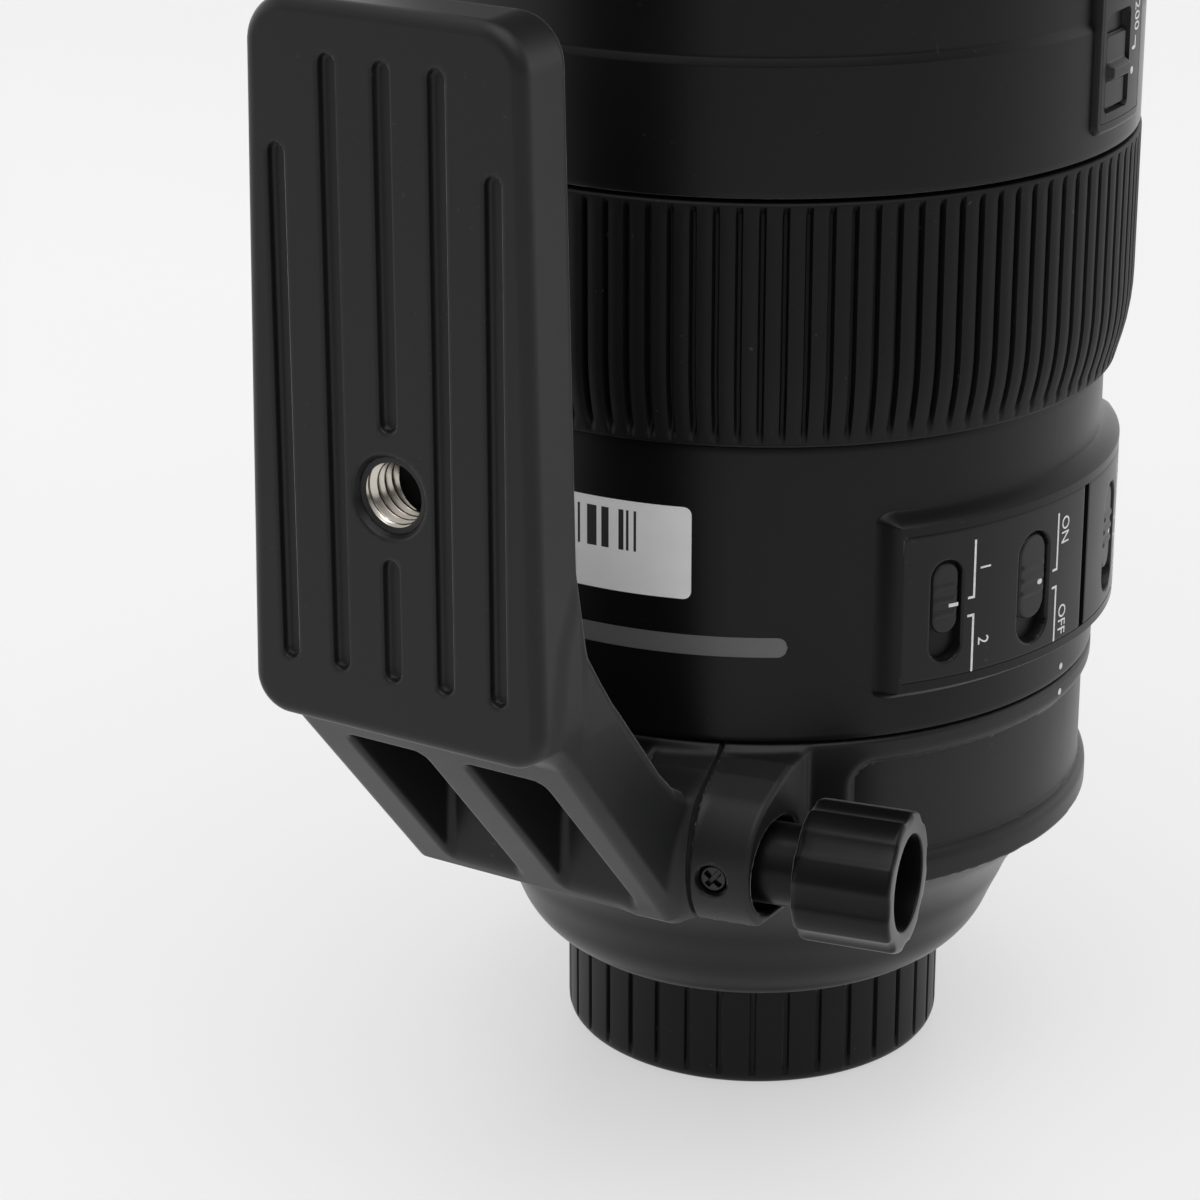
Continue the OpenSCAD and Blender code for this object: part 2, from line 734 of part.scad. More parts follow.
module foot_grooves() {
    z0 = plate_z0 + groove_end;
    z1 = plate_z0 + plate_l - groove_end;
    for (i = [-1, 1]) {
        foot_groove(i * groove_pitch, z0, z1);
        foot_groove(2 * i * groove_pitch, z0, z1 - groove_short);
    }
    foot_groove(0, z0, thread_z - mouth_r - 2.8);
    foot_groove(0, thread_z + mouth_r + 2.8, z1);
}

// Side view of the arm between the ring and the plate
arm_out_y = 7 - foot_y;
arm_out_z = plate_z0 - 3.9;
arm_low_y = -collar_r - 8.1;
arm_low_z = collar_z0 + 1.3;
pocket_wall = 4;
rib_half = 3.4;
pocket_w = 11.8;

module arm_outline() {
    back = plate_t - foot_y;
    polygon([
        [plate_bevel - foot_y, plate_z0 + 0.6], [arm_out_y, arm_out_z], [arm_low_y, arm_low_z],
        [arm_low_y + 2, collar_z0 + 0.2], [-seat_in, collar_z0], [-seat_in, collar_z1 - 1],
        [-collar_r - 1, collar_z1 - 3.5], [arm_low_y - 5, collar_z1 + 1.7], [back + 8.1, plate_z0 + 1.9],
        [back + 5.2, plate_z0 + 6], [back + 2.2, plate_z0 + 10.5], [back + 0.1, plate_z0 + 17.3],
        [back, plate_z0 + 21], [plate_bevel - foot_y, plate_z0 + 21]]);
}

// Front view of the arm, a little narrower at the ring
module arm_front() {
    low_w = arm_w - 1.8;
    top_z = plate_z0 + plate_l;
    polygon([
        [-low_w, collar_z0], [low_w, collar_z0], [arm_w, plate_z0], [arm_w, top_z],
        [-arm_w, top_z], [-arm_w, plate_z0]]);
}

// Pocket that runs up into the arm through its slanted face
module arm_pocket(x0, x1) {
    front = arm_out_y + pocket_wall;
    back = arm_low_y - pocket_wall;
    along_x(x0, x1) polygon([
        [front, arm_low_z], [back, arm_low_z], [back, collar_z1 - pocket_wall],
        [arm_low_y - 5 - pocket_wall, collar_z1 + 1.7], [front + pocket_wall, plate_z0 - 1],
        [front, plate_z0 + 1]]);
}

// Turns the frame so that +X runs along the clamp screw and -Y points outwards through the clamp
module at_clamp() {
    rotate([0, 0, clamp_az]) children();
}

// Side view of the clamp lug, a rounded nose on the ring
module lug_outline() {
    nose_z = clamp_z + 0.8;
    nose_low = 52;
    nose_high = 62;
    polygon(concat(
        [[-seat_in, collar_z0 + 0.8]],
        arc(lug_nose_r - lug_rho, nose_z, lug_nose_r, 180 + nose_low, 180 - nose_high, 12),
        [[-collar_r - 3.1, collar_z1 - 2.3], [0.4 - collar_r, collar_z1 - 1.1],
            [-seat_in, collar_z1 - 0.8]]));
}

// Plan of the clamp lug, whose free end slants back towards the ring
module lug_plan() {
    slant = 0.155;
    back_s = lug_s + slant * (lug_rho - seat_in);
    polygon([[lug_s0, -seat_in], [lug_s0, -lug_rho], [lug_s, -lug_rho], [back_s, -seat_in]]);
}

module clamp_cylinder(r, s0, s1, out = 0) {
    at_clamp() translate([s0, -clamp_rho - out, clamp_z]) rotate([0, 90, 0]) cylinder(r = r, h = s1 - s0);
}

stop_s = clamp_face + lug_w * 0.36;
stop_head_h = 1.4;
stop_depth = 1;
stop_shank_r = 1.1;
stud_groove_r = 1.9;
stud_groove_half = 2.2;
stop_shank_l = lug_rho - stop_depth - stop_head_h - clamp_rho - stud_groove_r - run_gap;

module stop_screw_shape(grow) {
    at_clamp() translate([stop_s, -lug_rho, clamp_z]) rotate([-90, 0, 0]) {
        translate([0, 0, stop_depth]) cylinder(r = stop_head_r + grow, h = stop_head_h);
        translate([0, 0, stop_depth + stop_head_h - eps])
            cylinder(r = stop_shank_r + grow, h = stop_shank_l);
    }
}

module tripod_collar() {
    color("#2f3032") difference() {
        union() {
            difference() {
                union() {
                    foot_plate();
                    intersection() {
                        along_x(-arm_w, arm_w) arm_outline();
                        along_y(-foot_y, 0) arm_front();
                    }
                }
                foot_grooves();
                arm_pocket(rib_half, rib_half + pocket_w);
                arm_pocket(-rib_half - pocket_w, -rib_half);
                at_clamp() translate([clamp_face - eps, -lug_rho - 4, collar_z0 - 1])
                    cube([arm_w, lug_rho, collar_h + 1.6]);
            }
            difference() {
                tube(collar_in - eps, collar_r, collar_z0, collar_z1);
                sector(belt_r, collar_r + 1, collar_z0 + lip_low, collar_z1 - lip_high,
                    belt_az, 360 - belt_az);
            }
            at_clamp() intersection() {
                along_x(lug_s0, knob_s) lug_outline();
                translate([0, 0, collar_z0]) linear_extrude(collar_h) lug_plan();
            }
        }
        translate([0, 0, collar_z0 - 1]) cylinder(r = collar_in, h = collar_h + 2);
        at_clamp() translate([slit_s - slit_w / 2, -lug_rho - 4, collar_z0 - 1])
            cube([slit_w, lug_rho - seat_in + 8, collar_h + 2]);
        clamp_cylinder(stud_r + 2 * fit_gap, stud_end_s - 1, lug_s + 1);
        for (out = [0, knob_slot])
            clamp_cylinder(neck_knob_r + knob_room, lug_s - knob_in, knob_s, out);
        clamp_cylinder(knob_r + run_gap, knob_s - run_gap, knob_s + knob_l + run_gap);
        stop_screw_shape(fit_gap);
        at_clamp() translate([stop_s, -lug_rho - 1, clamp_z]) rotate([-90, 0, 0])
            cylinder(r = stop_head_r + fit_gap, h = stop_depth + 1 + eps);
        translate([0, bush_l - foot_y, thread_z]) rotate([90, 0, 0])
            cylinder(r = bush_r + fit_gap, h = bush_l + 1);
        translate([0, bush_sink - foot_y, thread_z]) rotate([90, 0, 0])
            cylinder(r1 = bush_r + fit_gap, r2 = mouth_r, h = bush_sink + eps);
    }
}

module foot_thread_bush() {
    color("#c9c6bd") translate([0, bush_l - foot_y, thread_z]) rotate([90, 0, 0]) difference() {
        cylinder(r = bush_r, h = bush_l - bush_sink);
        translate([0, 0, -eps]) cylinder(r = thread_r, h = bush_l);
    }
}

module collar_knob() {
    flute_r = 6.8;
    color("#202123") at_clamp() translate([0, -clamp_rho, clamp_z]) rotate([0, 90, 0]) difference() {
        union() {
            translate([0, 0, knob_neck_s]) cylinder(r = neck_knob_r, h = neck_knob_l + eps);
            translate([0, 0, knob_s]) rotate_extrude() polygon([
                [0, 0], [knob_r - 1, 0], [knob_r, 1], [knob_r, knob_l - 0.8], [knob_r - 0.8, knob_l],
                [knob_bore_r, knob_l], [knob_bore_r, knob_l - 5], [0, knob_l - 5]]);
        }
        for (i = [0:knob_flutes - 1])
            rotate([0, 0, i * 360 / knob_flutes])
                translate([knob_r + flute_r - flute_d, 0, knob_s - 1])
                    cylinder(r = flute_r, h = knob_l + 2);
        translate([0, 0, knob_neck_s - 1]) cylinder(r = stud_r + fit_gap, h = knob_l);
    }
}

// Clamp screw with the groove that the stop screw's tip keeps it by
module clamp_stud() {
    s1 = knob_neck_s + knob_l - 1.2;
    groove_s0 = stop_s - stud_groove_half;
    groove_s1 = stop_s + stud_groove_half;
    color("#8d9094") at_clamp() translate([0, -clamp_rho, clamp_z]) rotate([0, 90, 0])
        rotate_extrude() polygon([
            [0, stud_end_s], [stud_r, stud_end_s], [stud_r, groove_s0], [stud_groove_r, groove_s0],
            [stud_groove_r, groove_s1], [stud_r, groove_s1], [stud_r, s1], [0, s1]]);
}

module stop_screw() {
    cross_w = 0.5;
    cross_l = 1.2 * stop_head_r;
    cross_d = 0.6;
    color("#3a3b3d") difference() {
        stop_screw_shape(0);
        at_clamp() translate([stop_s, stop_depth - lug_rho, clamp_z]) rotate([-90, 0, 0])
            for (a = [45, 135])
                rotate([0, 0, a]) translate([-cross_l / 2, -cross_w / 2, -1])
                    cube([cross_l, cross_w, cross_d + 1]);
    }
}

// Main barrel and switches

// Azimuth, width, length and travel of each slider
sliders = [
    [59, slider_w, slider_l, slider_travel], [76.5, wide_w, wide_l, wide_travel],
    [103.5, wide_w, wide_l, wide_travel], [121, slider_w, slider_l, slider_travel]];
panel_in = pad_r - panel_t;
pad_z0 = main_z0 + pad_low;
pad_h = wide_l + wide_travel + 2 * pad_margin;
pad_z1 = pad_z0 + pad_h;
panel_z0 = pad_z0 + panel_margin - 0.5;
panel_z1 = pad_z1 - panel_margin + 0.5;
slider_z = (pad_z0 + pad_z1) / 2 - slider_drop;
slider_base_t = 1;
slider_base_r = panel_in - run_gap - slider_base_t;
slider_base_over = 1.2;
slider_face_r = pad_r - 0.3;
panel_az0 = pad_az - pad_half + panel_margin;
panel_az1 = pad_az + pad_half - panel_margin;
panel_fit = 0.1;

// Half the length of the slot that a slider runs in
function slot_half(s) = (s[2] + s[3]) / 2 + run_gap;

// Pocket behind a switch panel in which a slider's base runs
module slider_pocket(s) {
    half_w = s[1] / 2 + slider_base_over + run_gap;
    half_l = slot_half(s) + slider_base_over;
    at_az(s[0]) translate([slider_base_r - run_gap, -half_w, slider_z - half_l])
        cube([pad_r, 2 * half_w, 2 * half_l]);
}

module main_barrel() {
    color("#1f2022") difference() {
        union() {
            tube(main_in, main_r, main_z0, main_z1);
            tube(seat_r + fit_gap, main_in + eps, main_z0, seat_z1);
            tube(neck_in, neck_r, main_z1 - 3, neck_z1);
            tube(motor_r - 1, main_in + eps, focus_base_z - ledge_t, focus_base_z);
            sector(main_in + eps, pad_r, pad_z0, pad_z1, pad_az - pad_half, pad_az + pad_half);
        }
        sector(panel_in, pad_r + 1, panel_z0, panel_z1, panel_az0, panel_az1);
        for (s = sliders) slider_pocket(s);
    }
}

module switch_panel(az0, az1) {
    color("#26272a") difference() {
        sector(panel_in + fit_gap, pad_r, panel_z0 + fit_gap, panel_z1 - fit_gap, az0, az1);
        for (s = sliders)
            spoke_slot(s[0], slider_base_r, pad_r + 2, slider_z - slot_half(s), slider_z + slot_half(s),
                s[1] / 2 + run_gap);
    }
}

module switch_panel_left() {
    switch_panel(panel_az0 + panel_fit, panel_joint_az - panel_joint / 2);
}

module switch_panel_right() {
    switch_panel(panel_joint_az + panel_joint / 2, panel_az1 - panel_fit);
}

// Slider in its upper place, with the flat base that the panel keeps in
module switch_slider(i) {
    s = sliders[i - 1];
    ridge = 0.6;
    z1 = slider_z + slot_half(s) - run_gap;
    z0 = z1 - s[2];
    half = s[1] / 2 + slider_base_over;
    color("#141415") {
        at_az(s[0]) translate([slider_base_r, -half, z0 - slider_base_over])
            cube([slider_base_t, 2 * half, s[2] + 2 * slider_base_over]);
        spoke_slot(s[0], slider_base_r + slider_base_t - eps, slider_face_r, z0, z1, s[1] / 2);
        at_az(s[0]) for (k = [-2:2])
            translate([slider_face_r - eps, 0.4 - s[1] / 2, (z0 + z1) / 2 + (k * 2.6 - 0.5) * ridge])
                cube([0.5, s[1] - 0.8, ridge]);
    }
}

module main_board() {
    board_t = 1;
    color("#1d4a35") sector(main_in - fit_gap - board_t, main_in - fit_gap,
        focus_base_z + focus_base_t + 0.5, main_z1 - 3.5, 120, 300);
}

// Stabiliser: the frame slides along X on the base, and the cell slides along Y on the frame

module shift_keys(z0, h, grow) {
    for (y = [-1, 1])
        translate([-12 - grow, y * (shift_cell_r + 4) - shift_key_w / 2 - grow, z0])
            cube([24 + 2 * grow, shift_key_w + 2 * grow, h]);
}

module stabiliser_base() {
    color("#2b2c2e") difference() {
        tube(shift_lens_r + shift_travel + 1, seat_in - fit_gap, shift_z, shift_z + shift_base_t);
        shift_keys(shift_z + shift_base_t - shift_key_h - run_gap, shift_key_h + 1, shift_travel + run_gap);
    }
}

module stabiliser_frame() {
    color("#a9acb0") difference() {
        union() {
            tube(shift_lens_r + 2.5, shift_frame_r, shift_frame_z, shift_frame_z + shift_frame_t);
            shift_keys(shift_frame_z - shift_key_h - eps, shift_key_h + 2 * eps, 0);
        }
        rotate([0, 0, 90]) shift_keys(shift_frame_z + shift_frame_t - shift_key_h - run_gap,
            shift_key_h + 1, shift_travel + run_gap);
    }
}

module stabiliser_cell() {
    z1 = shift_cell_z + shift_cell_h;
    color("#191a1b") {
        tube(shift_lens_r + fit_gap, shift_cell_r, shift_cell_z, z1);
        tube(shift_lens_r - 1.5, shift_lens_r + 2 * fit_gap, shift_cell_z, shift_cell_z + 1);
        for (a = [0, 180])
            rotate([0, 0, a]) translate([shift_cell_r - 2, -12, shift_cell_z]) cube([8, 24, 1.5]);
        rotate([0, 0, 90]) shift_keys(shift_cell_z - shift_key_h - eps, shift_key_h + 1.2, 0);
    }
}

module stabiliser_lenses() {
    z0 = shift_cell_z + 1;
    color("#9fb8c4") {
        element(shift_lens_r, z0, z0 + 3, 0, 70);
        element(shift_lens_r, z0 + 4, z0 + 6, -60, 0);
    }
}

// Diaphragm

module iris_housing() {
    color("#232426") difference() {
        union() {
            tube(iris_open_r - 0.5, main_in - fit_gap, iris_z, iris_z + iris_base_t);
            tube(iris_wall_in, iris_wall_out, iris_z + iris_base_t - eps, iris_wall_z1);
        }
        for (i = [0:blades - 1])
            at_az(i * 360 / blades) translate([pivot_r, 0, iris_z - 1])
                cylinder(r = blade_pin_r + fit_gap, h = iris_base_t + 2);
    }
}

module iris_cover() {
    color("#2b2c2e") tube(iris_open_r, iris_wall_out, iris_wall_z1, iris_wall_z1 + iris_cover_t);
}

// Place of a blade's drive pin as the ring turns, seen from the ring
function drive_path(t) = let (b = blade_turn * t, a = -drive_turn * t,
    x = pivot_r + blade_tail * cos(b), y = blade_tail * sin(b))
    [x * cos(a) - y * sin(a), x * sin(a) + y * cos(a)];

module iris_drive_ring() {
    steps = 6;
    color("#55585c") difference() {
        tube(drive_in, drive_out, drive_z0, drive_z0 + drive_t);
        for (i = [0:blades - 1]) at_az(i * 360 / blades)
            for (k = [0:steps])
                translate([drive_path(k / steps)[0], drive_path(k / steps)[1], drive_z0 - 1])
                    cylinder(r = blade_pin_r + run_gap, h = drive_t + 2);
    }
}

module blade_outline() {
    outer = iris_open_r + blade_w;
    far = 2 * outer;
    mid_r = iris_open_r + blade_w / 2;
    intersection() {
        difference() {
            circle(r = outer);
            circle(r = iris_open_r);
        }
        polygon([[0, 0], [far, 0], [far * cos(blade_span / 2), far * sin(blade_span / 2)],
            [far * cos(blade_span), far * sin(blade_span)]]);
    }
    intersection() {
        translate([mid_r, -1.6]) square([pivot_r - mid_r, 3.2]);
        difference() {
            circle(r = pivot_r);
            circle(r = iris_open_r);
        }
    }
    translate([pivot_r, 0]) circle(r = 1.6);
    translate([pivot_r, -1.2]) square([blade_tail, 2.4]);
    translate([drive_r, 0]) circle(r = 1.2);
}

// One blade of the stack with its pivot pin below and its drive pin above
module iris_blade(i) {
    z = blade_z0 + (i - 1) * blade_step;
    color("#3a3c40") at_az((i - 1) * 360 / blades) {
        translate([0, 0, z]) linear_extrude(blade_t) blade_outline();
        translate([pivot_r, 0, iris_z + 0.4]) cylinder(r = blade_pin_r, h = z - iris_z - 0.4 + eps);
        translate([drive_r, 0, z + blade_t - eps])
            cylinder(r = blade_pin_r, h = drive_z0 + drive_t - z - blade_t);
    }
}

// Focus unit

module focus_ring() {
    color("#1b1c1e") tube(focus_in, focus_r, focus_z0, focus_z1);
}

// Gaps between the ribs of a rubber grip, one gap in every few
module rib_gaps(ribs, every, gap, r, depth, z0, z1) {
    for (i = [0:every:ribs - 1])
        at_az(i * 360 / ribs) translate([r - depth, -gap / 2, z0]) cube([depth + 1, gap, z1 - z0]);
}

module focus_grip() {
    inner = focus_r + fit_gap;
    every = 2;
    color("#161617") difference() {
        rotate_extrude() polygon([
            [inner, focus_z0 + 0.4], [focus_grip_low_r, focus_z0 + 0.4],
            [focus_grip_r, focus_z0 + focus_taper], [focus_grip_r, focus_z1 - 0.6],
            [focus_grip_r - 0.4, focus_z1 - 0.2], [inner, focus_z1 - 0.2]]);
        rib_gaps(focus_ribs, every, focus_rib_gap, focus_grip_r, focus_rib_d,
            focus_z0 + 1.4, focus_z1 - 1.2);
    }
}

module motor_stator() {
    z0 = focus_base_z + focus_base_t;
    color("#b08d57") tube(focus_guide_r + fit_gap, motor_r, z0, z0 + stator_h);
}

module motor_rotor() {
    color("#9b9ea2") tube(focus_cam_in, motor_r, rotor_z0, rotor_z0 + rotor_h);
}

module focus_cam() {
    color("#7f8286") difference() {
        tube(focus_cam_in, focus_cam_r, focus_cam_z0, focus_cam_z1);
        for (i = [0:2])
            helix_slot(focus_cam_in - cut_over, focus_cam_r + cut_over, i * 120, focus_turn, focus_pin_z,
                focus_travel, focus_slot, 18);
    }
}

module focus_guide() {
    color("#2b2c2e") difference() {
        union() {
            tube(focus_guide_in, focus_guide_r, focus_base_z, focus_guide_z1);
            tube(focus_guide_r - eps, main_in - fit_gap, focus_base_z, focus_base_z + focus_base_t);
        }
        for (i = [0:2])
            spoke_slot(i * 120, focus_guide_in - 1, focus_guide_r + 1, focus_pin_z - focus_slot,
                focus_pin_z + focus_travel + focus_slot, focus_slot);
    }
}

focus_cell_z0 = focus_pin_z - focus_cell_h / 2;
focus_cell_z1 = focus_cell_z0 + focus_cell_h;

module focus_cell() {
    color("#191a1b") {
        tube(focus_lens_r + fit_gap, focus_cell_r, focus_cell_z0, focus_cell_z1);
        tube(focus_lens_r - 1.5, focus_lens_r + 2 * fit_gap, focus_cell_z0, focus_cell_z0 + 1.2);
        for (i = [0:2]) spoke(i * 120, focus_cell_r - 2, focus_cam_r - 0.2, focus_pin_z, focus_pin_r);
    }
}

module focus_lenses() {
    z0 = focus_cell_z0 + 1.2;
    color("#9fb8c4") {
        element(focus_lens_r, z0, z0 + 5, 0, 90);
        element(focus_lens_r, z0 + 6, z0 + 8.5, -95, 0);
    }
}

// Middle barrel, zoom lock and zoom ring

lock_plate_r = mid_r + lock_rise;
lock_plate_t = 1.2;
lock_slide_az = lock_az - lock_lead;
lock_z0 = mid_z0 + 3;
lock_slot_z0 = lock_z0 + 2.8;
lock_slot_z1 = lock_slot_z0 + lock_l + lock_travel + 2 * run_gap;
lock_z1 = lock_slot_z1 + 12;
lock_half_w = lock_w / 2;
lock_base_t = 0.6;
lock_base_over = 0.6;
lock_base_half = lock_half_w + lock_base_over;
// The flat base stays under the curved plate out to its corners
lock_base_r = sqrt(pow(lock_plate_r - lock_plate_t - run_gap, 2) - pow(lock_base_half, 2)) - lock_base_t;
lock_margin = 1.5;
lock_corner = 0.7;
lock_plate_half = lock_half - 1.1;

module mid_barrel() {
    pocket = lock_base_half + run_gap;
    color("#1f2022") difference() {
        union() {
            rotate_extrude() polygon([
                [neck_r + fit_gap, mid_z0], [mid_r - 0.4, mid_z0], [mid_r, mid_z0 + 0.4],
                [mid_r, mid_z0 + ledge_h], [mid_r - ledge_d, mid_z0 + ledge_h], [mid_r - ledge_d, mid_z1],
                [bearing_r, mid_z1], [bearing_r, bearing_z1], [bearing_in, bearing_z1],
                [bearing_in, neck_z1], [neck_r + fit_gap, neck_z1]]);
            sector(mid_r - ledge_d - 0.5, lock_plate_r, lock_z0, lock_z1,
                lock_az - lock_half, lock_az + lock_half);
        }
        sector(lock_plate_r - lock_plate_t, lock_plate_r + 1, lock_z0 + lock_margin, lock_z1 - lock_margin,
            lock_az - lock_plate_half, lock_az + lock_plate_half);
        at_az(lock_slide_az) translate([lock_base_r - run_gap, -pocket, lock_slot_z0 - lock_base_over])
            cube([mid_r, 2 * pocket, lock_slot_z1 - lock_slot_z0 + 2 * lock_base_over]);
        sector(bearing_in - 1, bearing_r + 1, key_z - key_half_h - run_gap, key_z + key_half_h + run_gap,
            key_az - key_half_az, key_az + zoom_turn + key_half_az);
    }
}

module zoom_lock_plate() {
    color("#26272a") difference() {
        sector(lock_plate_r - lock_plate_t + fit_gap, lock_plate_r,
            lock_z0 + lock_margin + fit_gap, lock_z1 - lock_margin - fit_gap,
            lock_az - lock_plate_half + fit_gap, lock_az + lock_plate_half - fit_gap);
        spoke_block(lock_slide_az, lock_base_r, lock_plate_r + 2, lock_slot_z0, lock_slot_z1,
            lock_half_w + run_gap, lock_corner + run_gap);
    }
}

module zoom_lock_slider() {
    z0 = lock_slot_z0 + run_gap;
    face_r = lock_plate_r - 0.3;
    bar_t = 1.1;
    bar_h = 3;
    bar_root = 0.4;
    color("#141415") {
        at_az(lock_slide_az) translate([lock_base_r, -lock_base_half, z0 - lock_base_over])
            cube([lock_base_t, 2 * lock_base_half, lock_l + 2 * lock_base_over]);
        spoke_block(lock_slide_az, lock_base_r + lock_base_t - eps, face_r, z0, z0 + lock_l, lock_half_w,
            lock_corner);
        at_az(lock_slide_az) translate([face_r - bar_root, 0.3 - lock_half_w, z0 + (lock_l - bar_h) / 2])
            cube([bar_root + bar_t, lock_w - 0.6, bar_h]);
    }
}

// Block along the key's radius, larger all round by grow
module key_block(grow) {
    at_az(key_az) translate([cam_in - 1, -key_half_w - grow, key_z - key_half_h - grow])
        cube([zoom_r - cam_in + 2, 2 * (key_half_w + grow), 2 * (key_half_h + grow)]);
}

module zoom_ring() {
    color("#1b1c1e") difference() {
        tube(zoom_in, zoom_r, zoom_z0, zoom_z1);
        key_block(fit_gap);
    }
}

module zoom_grip() {
    inner = zoom_r + fit_gap;
    every = 3;
    grip_z0 = zoom_z0 + 2;
    grip_z1 = zoom_z1 - 4;
    ribbed = grip_z1 - grip_z0 - 2 * zoom_band_end;
    band_h = (ribbed - (zoom_bands - 1) * zoom_band_gap) / zoom_bands;
    color("#161617") difference() {
        rotate_extrude() polygon([
            [inner, grip_z0], [zoom_grip_r - 0.5, grip_z0], [zoom_grip_r, grip_z0 + 0.5],
            [zoom_grip_r, grip_z1 - 0.5], [zoom_grip_r - 0.5, grip_z1], [inner, grip_z1]]);
        for (b = [0:zoom_bands - 1]) {
            z0 = grip_z0 + zoom_band_end + b * (band_h + zoom_band_gap);
            rib_gaps(zoom_ribs, every, zoom_rib_gap, zoom_grip_r, zoom_rib_d, z0, z0 + band_h);
        }
    }
}

// Key that joins the zoom ring to the cam barrel through the bearing tube
module zoom_key() {
    color("#8d9094") intersection() {
        key_block(0);
        tube(cam_in + 0.2, zoom_r - 0.1, zoom_z0, zoom_z1);
    }
}

module cam_barrel() {
    color("#9b9ea2") difference() {
        tube(cam_in, cam_r, cam_z0, cam_z1);
        for (i = [0:2]) {
            helix_slot(cam_in - cut_over, cam_r + cut_over, i * 120, zoom_turn, follower_z, zoom_travel,
                follower_slot, 24);
            helix_slot(cam_in - cut_over, cam_r + cut_over, i * 120 + variator_az, zoom_turn, variator_z,
                variator_travel, follower_slot, 18);
        }
        key_block(fit_gap);
    }
}

module guide_barrel() {
    color("#7f8286") difference() {
        union() {
            tube(guide_in, guide_r, neck_z1, cam_z1);
            tube(guide_r - eps, bearing_in - fit_gap, neck_z1, neck_z1 + guide_flange_t);
        }
        for (i = [0:2]) {
            spoke_slot(i * 120, guide_in - 1, guide_r + 0.2, follower_z - follower_slot,
                follower_z + zoom_travel + follower_slot, follower_slot);
            spoke_slot(i * 120 + variator_az, guide_in - 1, guide_r + 0.2, variator_z - follower_slot,
                variator_z + variator_travel + follower_slot, follower_slot);
        }
    }
}

variator_z0 = variator_z - 7;
variator_z1 = variator_z + 6;

module variator_cell() {
    color("#191a1b") {
        tube(variator_lens_r + fit_gap, variator_r, variator_z0, variator_z1);
        tube(variator_lens_r - 1.5, variator_lens_r + 2 * fit_gap, variator_z0, variator_z0 + 1.2);
        for (i = [0:2]) spoke(i * 120 + variator_az, variator_r - 3, cam_r - 0.2, variator_z, follower_r);
    }
}

module variator_lenses() {
    z0 = variator_z0 + 1.2;
    color("#9fb8c4") {
        element(variator_lens_r, z0 + 4, z0 + 6, -110, 0);
        element(variator_lens_r, z0 + 6.3, z0 + 11.3, 0, 110);
    }
}

// Front barrel, which the extension tube carries

ext_flange_z = front_z0 + 2;
ext_flange_t = 2;
front_cell_z = ext_flange_z + ext_flange_t;
front_bore_r = front_lens_r + fit_gap;
filter_z0 = front_z1 - filter_h;

module extension_tube() {
    slot_top = variator_z + follower_slot;
    color("#1b1c1e") difference() {
        union() {
            tube(ext_in, ext_r, ext_z0, ext_flange_z + ext_flange_t);
            tube(ext_r - eps, front_in - fit_gap, ext_flange_z, ext_flange_z + ext_flange_t);
        }
        for (i = [0:2]) {
            spoke(i * 120, ext_in - 1, ext_r + 1, follower_z, follower_r + fit_gap);
            spoke_slot(i * 120 + variator_az, ext_in - 1, ext_r + 1, ext_z0 - 20, slot_top, follower_slot);
        }
    }
}

module cam_followers() {
    color("#c2a15a") for (i = [0:2]) spoke(i * 120, guide_in + 0.2, cam_r - 0.2, follower_z, follower_r);
}

module front_barrel() {
    color("#1f2022") {
        rotate_extrude() polygon([
            [ext_r + fit_gap, front_z0], [front_r - 0.5, front_z0], [front_r, front_z0 + 0.5],
            [front_r, front_z0 + 16], [front_r - 0.6, front_z0 + 16.6], [front_r - 0.6, front_z0 + 20],
            [front_r, front_z0 + 20.6], [front_r, front_z1 - 0.8], [front_r - 0.8, front_z1],
            [filter_r, front_z1], [filter_r, filter_z0], [front_in, filter_z0], [front_in, ext_flange_z],
            [ext_r + fit_gap, ext_flange_z]]);
    }
}

front_lip_t = 1.5;

module front_cell() {
    color("#191a1b") {
        tube(front_bore_r, front_in - fit_gap, front_cell_z, filter_z0);
        tube(front_lens_r - 2, front_bore_r + eps, front_cell_z, front_cell_z + front_lip_t);
    }
}

module front_lenses() {
    z0 = front_cell_z + front_lip_t;
    color("#9fb8c4") {
        element(front_lens_r, z0, z0 + 6, 0, 300);
        element(front_lens_r, z0 + 6.3, z0 + 9.8, -300, 250);
        element(front_lens_r, z0 + 10.2, z0 + 19.2, 0, 200);
    }
}

rear_cap();
mount_flange();
mount_screws();
contact_block();
contact_pins();
rear_housing();
rear_cell();
rear_lenses();
tripod_collar();
foot_thread_bush();
collar_knob();
clamp_stud();
stop_screw();
main_barrel();
switch_panel_left();
switch_panel_right();
for (i = [1:4]) switch_slider(i);
main_board();
stabiliser_base();
stabiliser_frame();
stabiliser_cell();
stabiliser_lenses();
iris_housing();
iris_cover();
iris_drive_ring();
for (i = [1:blades]) iris_blade(i);
focus_ring();
focus_grip();
motor_stator();
motor_rotor();
focus_cam();
focus_guide();
focus_cell();
focus_lenses();
mid_barrel();
zoom_lock_plate();
zoom_lock_slider();
zoom_ring();
zoom_grip();
zoom_key();
cam_barrel();
guide_barrel();
variator_cell();
variator_lenses();
extension_tube();
cam_followers();
front_barrel();
front_cell();
front_lenses();
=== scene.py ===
"""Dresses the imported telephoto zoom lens, which stands on its rear cap on a pale floor."""

import json
import math

import bmesh
import bpy
import numpy as np
from mathutils import Matrix, Vector


